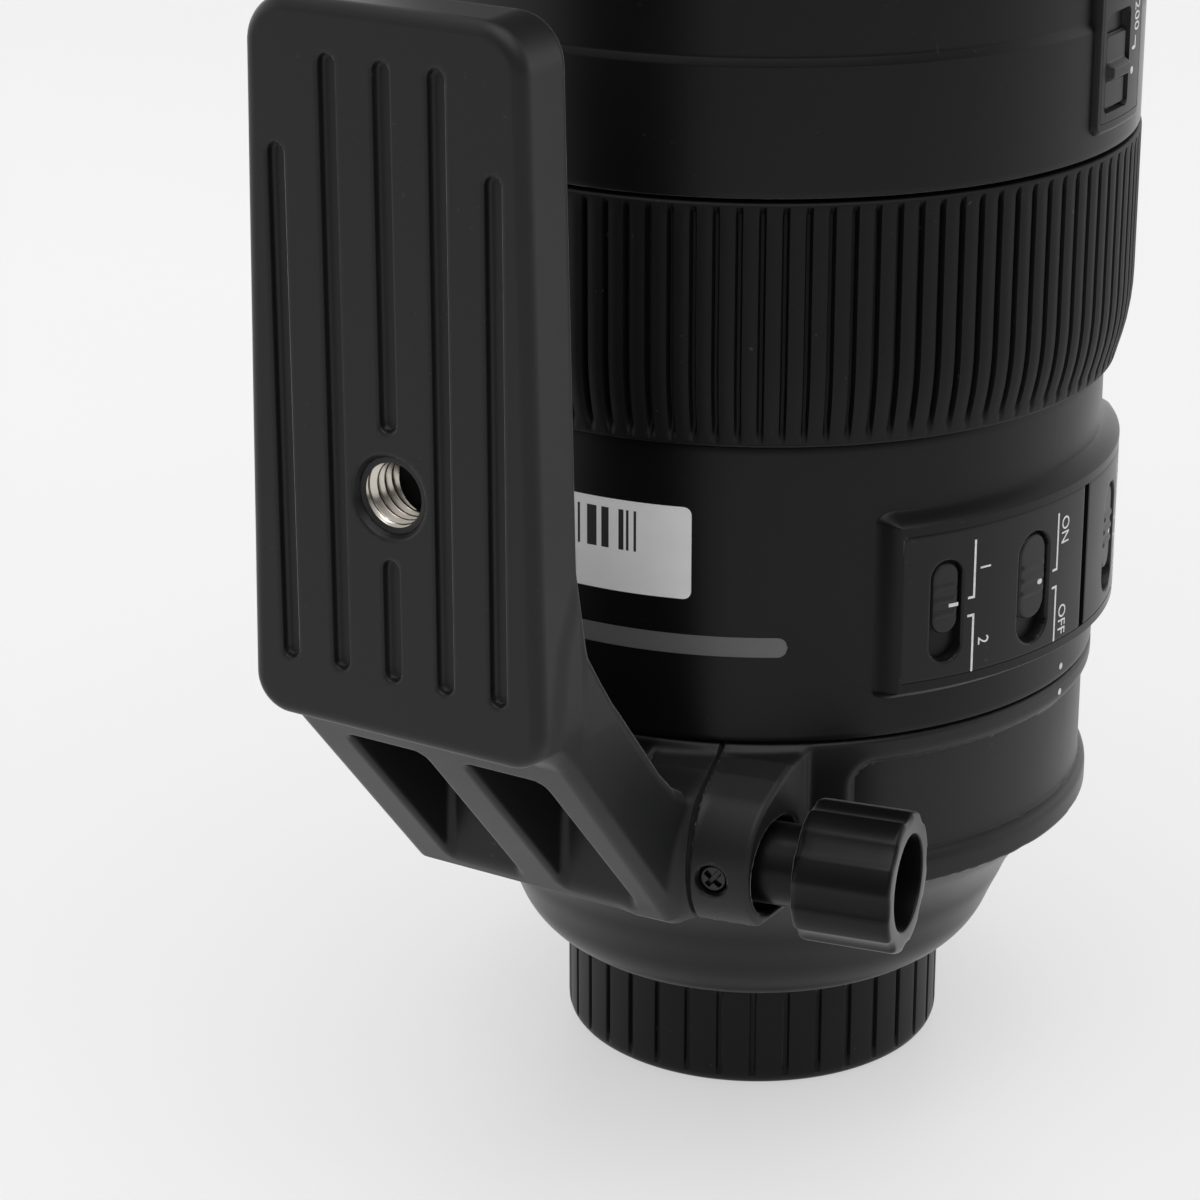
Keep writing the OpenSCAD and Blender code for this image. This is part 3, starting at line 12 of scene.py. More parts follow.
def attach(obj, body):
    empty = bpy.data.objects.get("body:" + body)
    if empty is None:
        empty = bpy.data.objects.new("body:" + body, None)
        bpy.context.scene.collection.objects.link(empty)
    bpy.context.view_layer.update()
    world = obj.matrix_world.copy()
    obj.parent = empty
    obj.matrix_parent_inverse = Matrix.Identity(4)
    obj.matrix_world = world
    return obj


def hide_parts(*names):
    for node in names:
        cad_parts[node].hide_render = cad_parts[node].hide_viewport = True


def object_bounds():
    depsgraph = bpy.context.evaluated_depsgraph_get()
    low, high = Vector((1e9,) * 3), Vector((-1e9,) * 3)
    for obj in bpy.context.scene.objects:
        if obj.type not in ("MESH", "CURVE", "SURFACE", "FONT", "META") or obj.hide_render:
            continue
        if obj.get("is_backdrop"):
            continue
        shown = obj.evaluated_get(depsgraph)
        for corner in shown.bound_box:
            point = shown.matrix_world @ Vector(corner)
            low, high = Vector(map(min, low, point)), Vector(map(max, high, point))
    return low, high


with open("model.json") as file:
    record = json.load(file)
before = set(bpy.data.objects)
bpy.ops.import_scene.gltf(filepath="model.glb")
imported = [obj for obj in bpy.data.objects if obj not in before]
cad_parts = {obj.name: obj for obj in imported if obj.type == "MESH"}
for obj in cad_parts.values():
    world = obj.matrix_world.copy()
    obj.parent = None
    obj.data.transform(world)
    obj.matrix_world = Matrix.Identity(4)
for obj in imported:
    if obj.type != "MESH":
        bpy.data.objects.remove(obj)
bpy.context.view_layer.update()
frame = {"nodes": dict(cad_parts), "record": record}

# Rear cap
# A moulded black plastic lid over the bayonet, which the lens stands on. Thirty-six narrow grooves round
# its side give the fingers a hold; a bayonet twist takes it off.

MM = 0.001


class Tone:
    """A shader socket that takes part in Python sums: each operator adds one Math node."""

    def __init__(self, tree, socket):
        self.tree, self.socket = tree, socket

    def add(self, kind, settings=None, sockets=None, out=0):
        """Any other node: its settings are set first, then the value or the link of each socket."""
        node = self.tree.nodes.new(kind)
        for key, value in (settings or {}).items():
            setattr(node, key, value)
        for key, value in (sockets or {}).items():
            if isinstance(value, Tone):
                self.tree.links.new(value.socket, node.inputs[key])
            else:
                node.inputs[key].default_value = value
        return Tone(self.tree, node.outputs[out])

    def sum(self, operation, first, second):
        return self.add("ShaderNodeMath", {"operation": operation}, {0: first, 1: second})

    def __add__(self, other):
        return self.sum("ADD", self, other)

    def __radd__(self, other):
        return self.sum("ADD", other, self)

    def __rsub__(self, other):
        return self.sum("SUBTRACT", other, self)

    def __mul__(self, other):
        return self.sum("MULTIPLY", self, other)

    def __gt__(self, other):
        return self.sum("GREATER_THAN", self, other)

    def __lt__(self, other):
        return self.sum("LESS_THAN", self, other)

    def noise(self, size_mm, detail=2.0):
        """Cloudy noise whose lumps are about size_mm across."""
        return self.add("ShaderNodeTexNoise", {}, {
            "Vector": self, "Scale": 1 / (size_mm * MM), "Detail": detail})

    def ramp(self, low, high):
        """0 below low, 1 above high, and straight between them."""
        return self.add("ShaderNodeMapRange", {}, {0: self, 1: low, 2: high, 3: 0.0, 4: 1.0})

    def blend(self, first, second):
        """Colour that goes from first to second as this value goes from 0 to 1."""
        return self.add("ShaderNodeMix", {"data_type": "RGBA"}, {0: self, 6: first, 7: second}, out=2)

    def toward(self, direction):
        """How far this vector reaches in a direction."""
        return self.add("ShaderNodeVectorMath", {"operation": "DOT_PRODUCT"}, {0: self, 1: direction},
                        out=1)


def grey(level, tint=(1.0, 1.0, 1.0)):
    return (level * tint[0], level * tint[1], level * tint[2], 1.0)


def finish(name, **constants):
    """A new material: its shader, with the sockets that stay the same all over, and its Object
    coordinates."""
    material = bpy.data.materials.new(name)
    material.use_nodes = True
    tree = material.node_tree
    shader = tree.nodes["Principled BSDF"]
    for key, value in constants.items():
        shader.inputs[key.replace("_", " ")].default_value = value
    place = Tone(tree, tree.nodes.new("ShaderNodeTexCoord").outputs["Object"])
    return material, shader, place


def into(value, shader, socket):
    """Links a sum or a colour to a shader's socket."""
    value.tree.links.new(value.socket, shader.inputs[socket])


def grained(name, level, rough, grain_mm, relief_mm, tint=(1.0, 1.0, 1.0), uneven=0.18, dust=0.0, shine=0.5,
            sheen=0.0):
    """Dull surface with a fine grain: two sizes of grain make the relief, broad clouds shift colour and
    gloss, a few pale specks of dust lie on it, and sheen pales it where it is seen at a slant."""
    material, shader, place = finish(name, Specular_IOR_Level=shine, Sheen_Weight=sheen,
                                     Sheen_Roughness=0.25)
    fine, coarse, cloud = place.noise(grain_mm, 3.0), place.noise(grain_mm * 2.7), place.noise(24.0, 3.0)
    mixed = fine * 0.65 + coarse * 0.35
    shade = (cloud * 0.6 + mixed * 0.4).ramp(0.3, 0.7)
    colour = shade.blend(grey(level * (1 - uneven), tint), grey(level * (1 + uneven), tint))
    if dust:
        specks = place.noise(0.9, 1.0).ramp(0.74, 0.78) * place.noise(9.0).ramp(0.5, 0.62) * dust
        colour = specks.blend(colour, grey(0.34))
    into(colour, shader, "Base Color")
    into(cloud * 0.16 + mixed * 0.08 + (rough - 0.12), shader, "Roughness")
    into(place.add("ShaderNodeBump", {}, {"Strength": 1.0, "Distance": relief_mm * MM, "Height": mixed}),
         shader, "Normal")
    return material


def lay(name, points, material, body, closed=True, crease=38.0, replaces=()):
    """Puts rows by columns of points in mm into a mesh of quads, joins the last row to the first, and the
    last column too where the profile is closed, and sets the piece on its body."""
    points = np.asarray(points, float)
    rows, columns = points.shape[:2]
    i, j = np.arange(rows)[:, None], np.arange(columns if closed else columns - 1)[None, :]
    i2, j2 = (i + 1) % rows, (j + 1) % columns
    quads = np.stack([i * columns + j, i2 * columns + j, i2 * columns + j2, i * columns + j2],
                     -1).reshape(-1, 4)
    return piece(name, points.reshape(-1, 3), quads, material, body, crease, replaces)


def piece(name, points, faces, material, body, crease=38.0, replaces=(), merge=True):
    """A mesh object from points in mm and faces, with smooth faces parted where they meet at over crease
    degrees."""
    mesh = bpy.data.meshes.new(name)
    mesh.from_pydata((np.asarray(points) * MM).tolist(), [], [list(face) for face in faces])
    if merge:
        work = bmesh.new()
        work.from_mesh(mesh)
        bmesh.ops.remove_doubles(work, verts=work.verts, dist=2e-7)
        bmesh.ops.recalc_face_normals(work, faces=work.faces)
        work.to_mesh(mesh)
        work.free()
    mesh.shade_smooth()
    mesh.set_sharp_from_angle(angle=math.radians(crease))
    mesh.materials.append(material)
    made = bpy.data.objects.new(name, mesh)
    bpy.context.scene.collection.objects.link(made)
    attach(made, body)
    if replaces:
        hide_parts(*replaces)
    return made


def eased(profile, radius, closed=True, steps=4):
    """Rounds a profile's corners: from each corner it goes back by the radius along both edges, at most
    half of each, and joins the two places by a parabola that has the corner as its control point."""
    p = np.asarray(profile, float)
    radius = np.broadcast_to(np.asarray(radius, float), len(p))[:, None]
    back, ahead = np.roll(p, 1, 0) - p, np.roll(p, -1, 0) - p
    long_back = np.linalg.norm(back, axis=1, keepdims=True) + 1e-9
    long_ahead = np.linalg.norm(ahead, axis=1, keepdims=True) + 1e-9
    a = p + back / long_back * np.minimum(radius, long_back * 0.499)
    b = p + ahead / long_ahead * np.minimum(radius, long_ahead * 0.499)
    u = np.linspace(0, 1, steps + 1)[:, None, None]
    curve = ((1 - u) ** 2 * a + 2 * u * (1 - u) * p + u ** 2 * b).transpose(1, 0, 2)
    if closed:
        return curve.reshape(-1, 2)
    return np.concatenate([p[:1], curve[1:-1].reshape(-1, 2), p[-1:]])


def divided(profile, longest, closed=True):
    """The same profile with extra places along it, so that no edge is longer than longest."""
    p = np.asarray(profile, float)
    if closed:
        p = np.concatenate([p, p[:1]])
    step = np.linalg.norm(np.diff(p, axis=0), axis=1)
    count = np.maximum(1, np.ceil(step / longest)).astype(int)
    at = np.concatenate([k + np.arange(n) / n for k, n in enumerate(count)] + [[len(p) - 1.0]])
    whole = np.arange(len(p))
    q = np.stack([np.interp(at, whole, p[:, 0]), np.interp(at, whole, p[:, 1])], -1)
    return q[:-1] if closed else q


def turned(profile, angles, swell=None):
    """Carries a profile of (radius, height) round the lens axis: azimuth a, counted from the foot's side,
    puts a place at (r sin a, -r cos a, z), where swell(a, r, z) is added to r."""
    a = np.asarray(angles, float)[:, None]
    r, z = np.asarray(profile, float).T[:, None, :]
    full = r + swell(a, r, z) if swell else r + 0 * a
    return np.stack([full * np.sin(a), -full * np.cos(a), z + 0 * a], -1)


def step(value, low, high):
    """Smooth step: 0 below low, 1 above high, 3t^2 - 2t^3 between."""
    t = np.clip((value - low) / (high - low), 0, 1)
    return t * t * (3 - 2 * t)


def evenly(count):
    return np.linspace(0, 2 * math.pi, count, endpoint=False)


def repeated(count, places, r):
    """Azimuths of a pattern that comes count times round the lens, from its places in mm round the radius
    r."""
    return (np.arange(count)[:, None] * (2 * math.pi / count) + np.array(places) / r).ravel()


def from_gap(a, count, r):
    """Distance in mm, round the radius r, from the middle of the nearest of count even gaps."""
    pitch = 2 * math.pi / count
    return np.abs((a + pitch / 2) % pitch - pitch / 2) * r


CAP_R, CAP_IN, CAP_H, CAP_FLOOR, CAP_GROOVES, CAP_GROOVE_D = 28.0, 25.5, 16.0, 2.0, 36, 0.55
cap_angles = repeated(CAP_GROOVES, [-0.66, -0.5, -0.42, -0.3, 0.3, 0.42, 0.5, 0.66, 1.3, 1.9, 2.45, 3.0,
                                    3.6], CAP_R)


def cap_grip(a, r, z):
    """Grooves about 0.8 mm wide on the outer wall, fading out at both ends."""
    wall = step(r, CAP_R - 0.8, CAP_R - 0.4) * step(z, 1.9, 2.6) * (1 - step(z, CAP_H - 1.0, CAP_H - 0.5))
    return -CAP_GROOVE_D * (1 - step(from_gap(a, CAP_GROOVES, CAP_R), 0.3, 0.52)) * wall


cap_plastic = grained("cap_plastic", 0.006, 0.48, 0.22, 0.012, dust=0.08, shine=0.2, sheen=0.35)
cap_profile = eased([(0, 0), (CAP_R, 0), (CAP_R, CAP_H), (CAP_IN, CAP_H), (CAP_IN, CAP_FLOOR),
                     (0, CAP_FLOOR)],
                    [0, 2.3, 0.5, 0.3, 0.6, 0], closed=False, steps=6)
lay("rear_cap_shell", turned(divided(cap_profile, 1.2, closed=False), cap_angles, cap_grip), cap_plastic,
    "cap", closed=False, replaces=("rear_cap",))

# Rear housing
# A turned light alloy bowl, painted matt black, that widens from the bayonet to the barrel. Its upper tube,
# hidden inside the collar, is the seat on which the collar turns.

housing_paint = grained("housing_paint", 0.005, 0.38, 0.3, 0.014, dust=0.05, shine=0.3, sheen=0.4)
bowl = eased([(29.6, 16.5), (30.5, 16.5), (33.0, 18.3), (35.0, 21.0), (36.3, 24.3), (37.7, 27.2),
              (38.9, 30.2),
              (41.2, 33.6), (44.3, 37.0), (46.8, 39.9), (45.5, 39.9), (45.5, 70.0), (43.2, 70.0),
              (43.2, 39.0),
              (36.6, 30.8), (35.6, 27.3), (32.6, 22.3), (29.6, 22.3)],
             [0.2, 0.4, 9, 9, 9, 9, 9, 9, 9, 0.4, 0.2, 0.3, 0.3, 1, 1, 1, 1, 0.3])
lay("rear_bowl", turned(bowl, evenly(160)), housing_paint, "barrel",
    replaces=("rear_housing",))

# Tripod collar and foot
# One light alloy casting with a fine matt paint: a ring that is split beside its lug, an arm with two
# pockets, and the foot plate with five cast grooves. It turns on the rear seat until the knob draws the
# split together.

RING_IN, RING_R, RING_Z0, RING_Z1, BARREL_CLEAR_R, BOWL_CLEAR_R = 45.8, 48.9, 40.2, 63.3, 49.3, 47.2
BELT_R, BELT_Z, BELT_HALF, BELT_AZ = 47.9, 52.15, 7.15, math.radians(46)
SLIT_HALF, NECK_ROOM_R, POCKET_X, POCKET_HALF = 0.25, 6.6, 9.3, 5.9
FOOT_FACE, FOOT_T, FOOT_Z0, FOOT_Z1 = -93.0, 10.2, 78.4, 170.5
GROOVE_PITCH, GROOVE_HALF, GROOVE_D = 7.95, 1.2, 1.2
GROOVE_Z0, GROOVE_Z1, GROOVE_SHORT_Z1 = 84.8, 164.1, 152.2
THREAD_Z, BUSH_R = 109.4, 4.95
CLAMP_AZ, CLAMP_RHO, CLAMP_Z, LUG_RHO, NOSE_R = math.radians(11.3), 52.2, 49.15, 61.2, 10.6
SLIT_S, LUG_S, STOP_S, KNOB_S, KNOB_L, KNOB_R = 10.85, 19.35, 14.07, 25.2, 13.75, 9.65
arm_side = [(-90.4, 78.7), (-86.0, 74.5), (-57.0, 41.5), (-55.0, 40.4), (-42.0, 40.2), (-42.0, 60.4),
            (-49.9, 59.7),
            (-55.5, 60.4), (-58.1, 62.0), (-62.0, 65.7), (-74.7, 80.3), (-77.6, 84.4), (-80.6, 88.9),
            (-82.7, 95.7), (-84.2, 99.4), (-88.0, 92.0)]
pocket_side = [(-58.8, 30.0), (-58.8, 56.8), (-66.0, 65.0), (-78.0, 77.4), (-82.0, 79.4), (-82.0, 30.0)]
nose_turn = np.radians(np.linspace(-52, 62, 33))
lug_side = [(44.0, 41.0), *zip(LUG_RHO - NOSE_R + NOSE_R * np.cos(nose_turn),
                               CLAMP_Z + 0.8 + NOSE_R * np.sin(nose_turn)),
            (52.0, 61.0), (48.5, 62.2), (44.0, 62.5)]


def joined(a, b, soft):
    """Union of two distance fields, with the inner corner between them filled over the length soft."""
    near = np.maximum(soft - np.abs(a - b), 0) / soft
    return np.minimum(a, b) - near * near * soft / 4


def less(a, b, soft):
    """Field a with field b taken out of it, and the edge that this leaves eased over the length soft."""
    return -joined(-a, b, soft)


def outline(u, v, corners):
    """Signed distance of places (u, v) from a polygon: the least distance to its edges, taken below zero
    where a ray from the place crosses an odd number of them."""
    p = np.asarray(corners, float)
    least, odd = np.inf, False
    for (au, av), (bu, bv) in zip(p, np.roll(p, -1, 0)):
        du, dv = bu - au, bv - av
        t = np.clip(((u - au) * du + (v - av) * dv) / (du * du + dv * dv), 0, 1)
        least = np.minimum(least, (u - au - t * du) ** 2 + (v - av - t * dv) ** 2)
        odd = odd ^ (((av > v) != (bv > v)) & ((u - au) < du * (v - av) / (dv if dv else 1e-9)))
    return np.where(odd, -1, 1) * np.sqrt(least)


def prism(flat, along, soft):
    """Solid between an outline's field and the field of its two ends, with the edges rounded to the radius
    soft."""
    a, b = flat + soft, along + soft
    return np.minimum(np.maximum(a, b), 0) + np.hypot(np.maximum(a, 0), np.maximum(b, 0)) - soft


def collar_field(x, y, z):
    """Distance field of the casting in mm: ring, arm, plate and lug joined with cast fillets, then the
    bore, belt, pockets, grooves, slit and the recesses of the clamp taken out."""
    rho, az = np.hypot(x, y), np.abs(np.arctan2(x, -y))
    out = x * math.sin(CLAMP_AZ) - y * math.cos(CLAMP_AZ)
    s = x * math.cos(CLAMP_AZ) + y * math.sin(CLAMP_AZ)
    ring = prism(np.abs(rho - (RING_IN + RING_R) / 2) - (RING_R - RING_IN) / 2,
                 np.abs(z - (RING_Z0 + RING_Z1) / 2) - (RING_Z1 - RING_Z0) / 2, 0.6)
    belt = np.maximum(prism(np.abs(z - BELT_Z) - BELT_HALF, (BELT_AZ - az) * RING_R, 3.0), BELT_R - rho)
    ring = less(ring, belt, 2.2)
    half = np.where(z > FOOT_Z0, 22.3 - 2.0 * (z - FOOT_Z0) / (FOOT_Z1 - FOOT_Z0),
                    22.3 + np.where(x < 0, 0.2, -2.1) * (FOOT_Z0 - z) / 38.2)
    arm = prism(outline(y, z, arm_side), np.abs(x) - half, 1.9)
    face = prism(np.abs(x) - half, np.abs(z - (FOOT_Z0 + FOOT_Z1) / 2 + 1) - (FOOT_Z1 - FOOT_Z0) / 2 - 1,
                 np.where(z < THREAD_Z, 5.2, 6.2))
    plate = prism(face, np.abs(y - FOOT_FACE - FOOT_T / 2) - FOOT_T / 2, 1.9)
    lug = prism(outline(out, z, lug_side), np.maximum(s - LUG_S - 0.155 * (LUG_RHO - out), SLIT_S - 9 - s),
                0.8)
    body = joined(joined(ring, lug, 1.6), joined(arm, plate, 2.0), 2.4)
    for side in (-1, 1):
        body = less(body, prism(outline(y, z, pocket_side), np.abs(x - side * POCKET_X) - POCKET_HALF, 1.3),
                    1.0)
    floor = y - FOOT_FACE - GROOVE_D
    for k in range(-2, 3):
        ends = [(GROOVE_Z0, GROOVE_SHORT_Z1 if abs(k) == 2 else GROOVE_Z1)]
        if k == 0:
            ends = [(GROOVE_Z0, THREAD_Z - 8.4), (THREAD_Z + 8.4, GROOVE_Z1)]
        for z0, z1 in ends:
            middle, reach = (z0 + z1) / 2, (z1 - z0) / 2 - GROOVE_HALF
            groove = np.hypot(x - k * GROOVE_PITCH, np.maximum(np.abs(z - middle) - reach, 0)) - GROOVE_HALF
            body = less(body, prism(groove, floor, 0.5), 0.5)
    hole = np.hypot(x, z - THREAD_Z) - BUSH_R - 0.05 - 0.6 * np.maximum(FOOT_FACE + 1.0 - y, 0)
    body = less(body, np.maximum(hole, y + 85.0), 0.3)
    body = less(body, np.maximum(np.abs(s - SLIT_S) - SLIT_HALF, 44.0 - out), 0.25)
    screw = np.hypot(out - CLAMP_RHO, z - CLAMP_Z)
    room = np.hypot(np.maximum(np.abs(out - CLAMP_RHO - 0.6) - 0.6, 0), z - CLAMP_Z) - NECK_ROOM_R
    body = less(body, np.maximum(room, LUG_S - 2.0 - s), 0.6)
    body = less(body, np.maximum(screw - KNOB_R - 0.35, KNOB_S - 0.35 - s), 0.4)
    body = less(body, prism(np.hypot(s - STOP_S, z - CLAMP_Z) - 2.25, LUG_RHO - 2.4 - out, 0.2), 0.4)
    body = less(body, rho - RING_IN + 0 * z, 0.4)
    body = np.maximum(body, -np.maximum(rho - BARREL_CLEAR_R, RING_Z1 - z))
    return np.maximum(body, -np.maximum(rho - BOWL_CLEAR_R, z - RING_Z0))


def lines(*spans):
    """Grid lines from (start, end, step) spans that follow one another."""
    return np.concatenate([np.linspace(a, b, max(2, round((b - a) / d)), endpoint=False)
                           for a, b, d in spans])


def skin(field, xs, ys, zs):
    """Surface of a field's zero level on a grid: one place in each cell that it passes through, at the mean
    of its crossings of the cell's edges, one quad for each grid edge that it crosses, and then three Newton
    steps along the slope. Gives places, quads and outward directions."""
    f = field(xs[:, None, None], ys[None, :, None], zs[None, None, :])
    solid = f < 0
    count = sum(solid[i:i - 1 or None, j:j - 1 or None, k:k - 1 or None].astype(np.int8)
                for i in (0, 1) for j in (0, 1) for k in (0, 1))
    cell = np.argwhere((count > 0) & (count < 8))
    index = np.full(count.shape, -1)
    index[tuple(cell.T)] = np.arange(len(cell))
    total, hits = np.zeros((len(cell), 3)), np.zeros((len(cell), 1))
    grid = (xs, ys, zs)
    for axis in range(3):
        for far in range(4):
            start = cell.copy()
            start[:, (axis + 1) % 3] += far & 1
            start[:, (axis + 2) % 3] += far >> 1
            end = start.copy()
            end[:, axis] += 1
            a, b = f[tuple(start.T)], f[tuple(end.T)]
            crossed = ((a < 0) != (b < 0))[:, None]
            t = (a / np.where(a == b, 1, a - b))[:, None]
            p = np.stack([g[i] for g, i in zip(grid, start.T)], -1)
            q = np.stack([g[i] for g, i in zip(grid, end.T)], -1)
            total += np.where(crossed, p + (q - p) * t, 0)
            hits += crossed
    places = total / hits
    quads = []
    for axis in range(3):
        one, two = np.moveaxis(solid, axis, 0)[:-1], np.moveaxis(solid, axis, 0)[1:]
        at = np.argwhere(one != two)
        u, v = [o for o in range(3) if o != axis]
        edge = np.zeros_like(at)
        edge[:, axis], edge[:, u], edge[:, v] = at.T
        ring = []
        for du, dv in ((1, 1), (0, 1), (0, 0), (1, 0)):
            near = edge.copy()
            near[:, u] -= du
            near[:, v] -= dv
            ring.append(index[tuple(near.T)])
        ring = np.stack(ring, -1)
        flip = one[tuple(at.T)] == (axis == 1)
        quads.append(np.where(flip[:, None], ring[:, ::-1], ring))
    for _ in range(3):
        slope = np.stack([field(*(places + h).T) - field(*(places - h).T) for h in np.eye(3) * 0.02],
                         -1) / 0.04
        size = np.maximum((slope ** 2).sum(1, keepdims=True), 0.25)
        places = places - np.clip(field(*places.T)[:, None] / size, -0.3, 0.3) * slope
    return places, np.concatenate(quads), slope / np.sqrt(size)


collar_paint = grained("collar_paint", 0.007, 0.44, 0.28, 0.012, tint=(0.97, 1.0, 1.03), dust=0.05,
                       shine=0.33,
                       sheen=0.3)
collar_xs = lines((-50.5, -24, 1.1), (-24, 13, 0.58), (13, 18.8, 0.42), (18.8, 23.6, 0.2), (23.6, 34, 0.42),
                  (34, 50.5, 1.0))
collar_ys = lines((-94, -64, 0.55), (-64, -40, 0.45), (-40, -10, 0.6), (-10, 50.5, 1.1))
collar_zs = lines((39.2, 64.5, 0.45), (64.5, 172, 0.62))
collar_points, collar_quads, collar_out = skin(collar_field, collar_xs, collar_ys, collar_zs)
collar = piece("collar_casting", collar_points, collar_quads, collar_paint, "collar",
               crease=180,
               replaces=("tripod_collar",), merge=False)
collar.data.normals_split_custom_set_from_vertices(collar_out.tolist())

# Tripod thread bush
# A nickel-plated brass bush pressed into the foot, tapped for a 3/8 inch tripod screw of 16 threads to the
# inch. A dark rim covers its joint with the foot.

BUSH_BORE, BUSH_CREST, BUSH_PITCH, BUSH_TOP, BUSH_L = 4.76, 3.97, 1.5875, -92.0, 7.0


def worn_metal(name, level, rough, tint=(1.0, 1.0, 1.0), grain_mm=0.5):
    """Bare metal: fine clouds shift its colour and gloss, and faint scratches lie in its relief."""
    material, shader, place = finish(name, Metallic=1.0)
    cloud, fine = place.noise(6.0, 3.0), place.noise(grain_mm, 2.0)
    into((cloud * 0.7 + fine * 0.3).ramp(0.3, 0.7).blend(grey(level * 0.86, tint), grey(level, tint)),
         shader, "Base Color")
    into(cloud * 0.12 + fine * 0.06 + (rough - 0.09), shader, "Roughness")
    into(place.add("ShaderNodeBump", {}, {"Strength": 0.5, "Distance": 0.004 * MM, "Height": fine}),
         shader, "Normal")
    return material


bush_nickel = worn_metal("bush_nickel", 0.66, 0.22, tint=(1.0, 0.93, 0.83))
bush_paint = grained("bush_paint", 0.012, 0.5, 0.28, 0.012, shine=0.3)
bush_depth = np.linspace(0.5, BUSH_L, 110)
bush_profile = np.concatenate([[(BUSH_R, BUSH_L), (BUSH_R, 0.12), (BUSH_R - 0.05, 0.07),
                                (BUSH_BORE + 0.05, 0.07)],
                               np.stack([np.full(110, BUSH_BORE), bush_depth], -1)])
bush_turn = evenly(72)[:, None]
bush_wave = np.abs((bush_profile[:, 1] / BUSH_PITCH - bush_turn / (2 * math.pi)) % 1 - 0.5) * 2
bush_thread = np.clip(bush_wave * 1.5 - 0.25, 0, 1) * step(bush_profile[:, 1], 0.4, 1.6)
bush_r = bush_profile[:, 0] - np.where(bush_profile[:, 0] == BUSH_BORE,
                                       (BUSH_BORE - BUSH_CREST) * bush_thread, 0)
lay("bush_threaded", np.stack([bush_r * np.cos(bush_turn), BUSH_TOP + bush_profile[:, 1] + 0 * bush_turn,
                               THREAD_Z + bush_r * np.sin(bush_turn)], -1),
    bush_nickel, "collar", crease=50, replaces=("foot_thread_bush",))
rim_r, rim_y = np.array([(BUSH_R, -0.02), (4.3, 0.02), (4.2, 0.1), (4.3, 0.32), (BUSH_BORE, 0.34),
                         (BUSH_R - 0.02, 0.06)]).T
lay("bush_rim", np.stack([rim_r * np.cos(bush_turn), BUSH_TOP + rim_y + 0 * bush_turn,
                          THREAD_Z + rim_r * np.sin(bush_turn)], -1),
    bush_paint, "collar")

# Clamp knob and stop screw
# A satin black knob with eight shallow flutes and a hollow end, on the stud that tightens the collar. The
# stop screw in the lug is dark steel with a cross recess; its tip keeps the stud from being turned right
# out.

clamp_out = np.array([math.sin(CLAMP_AZ), -math.cos(CLAMP_AZ), 0.0])
clamp_along = np.array([math.cos(CLAMP_AZ), math.sin(CLAMP_AZ), 0.0])
up = np.array([0.0, 0.0, 1.0])
FLUTES, FLUTE_R, FLUTE_D, KNOB_NECK_S, KNOB_NECK_R, KNOB_BORE = 8, 6.8, 0.45, 17.65, 5.65, 6.7
knob_turn = evenly(FLUTES * 24)[:, None]
knob_profile = eased([(0, KNOB_NECK_S), (KNOB_NECK_R, KNOB_NECK_S), (KNOB_NECK_R, KNOB_S), (KNOB_R, KNOB_S),
                      (KNOB_R, KNOB_S + KNOB_L), (KNOB_BORE, KNOB_S + KNOB_L),
                      (KNOB_BORE, KNOB_S + KNOB_L - 5),
                      (0, KNOB_S + KNOB_L - 5)], [0, 0.5, 0.3, 1.2, 0.9, 0.3, 0.4, 0], closed=False,
                     steps=5)
knob_profile = divided(knob_profile, 1.5, closed=False)
flute_off = (knob_turn + math.pi / FLUTES) % (2 * math.pi / FLUTES) - math.pi / FLUTES
flute_far = KNOB_R + FLUTE_R - FLUTE_D
flute_side = flute_far * np.sin(flute_off)
flute_wall = flute_far * np.cos(flute_off) - np.sqrt(np.maximum(FLUTE_R ** 2 - flute_side ** 2, 0))
flute_cut = np.where(np.abs(flute_side) < FLUTE_R, np.minimum(flute_wall - KNOB_R, 0), 0)
knob_wall = step(knob_profile[:, 0], 8.2, 9.0) * step(knob_profile[:, 1], KNOB_S - 0.1, KNOB_S + 0.1)
knob_r = knob_profile[:, 0] + flute_cut * knob_wall
knob_points = (CLAMP_RHO * clamp_out + CLAMP_Z * up
               + knob_profile[:, 1, None] * clamp_along
               + (knob_r * np.cos(knob_turn))[..., None] * clamp_out
               + (knob_r * np.sin(knob_turn))[..., None] * up)
knob_black = grained("knob_black", 0.003, 0.32, 0.35, 0.006, uneven=0.12, dust=0.04, shine=0.2, sheen=0.45)
lay("knob_fluted", knob_points, knob_black, "knob", closed=False, crease=30,
    replaces=("collar_knob",))

dark_steel = worn_metal("dark_steel", 0.05, 0.4)
head_turn = evenly(120)[:, None]
head_r = np.concatenate([np.linspace(0, 1.66, 40), [1.8, 1.88, 1.9, 1.9, 1.1, 0]])
head_u, head_v = head_r * np.cos(head_turn + 0.7), head_r * np.sin(head_turn + 0.7)
head_arm = np.minimum(np.maximum(np.abs(head_u) / 0.33, np.abs(head_v) / 1.2),
                      np.maximum(np.abs(head_v) / 0.33, np.abs(head_u) / 1.2))
head_high = -0.12 * head_r ** 2 / 4 - 0.75 * (1 - step(head_arm, 0.9, 1.2))
head_high = np.where(np.arange(len(head_r)) < 40, head_high, [0] * 40 + [-0.2, -0.34, -0.6, -1.35, -1.35,
                                                                         -1.35])
lay("stop_screw_head", (LUG_RHO - 1.0 + head_high)[..., None] * clamp_out
    + (STOP_S + head_r * np.cos(head_turn))[..., None] * clamp_along
    + (CLAMP_Z + head_r * np.sin(head_turn))[..., None] * up,
    dark_steel, "collar", closed=False, crease=40, replaces=("stop_screw",))

# Main barrel
# The turned and painted barrel behind the focus ring. A raised housing on its side holds the two switch
# panels; the focus ring turns on its narrower neck.

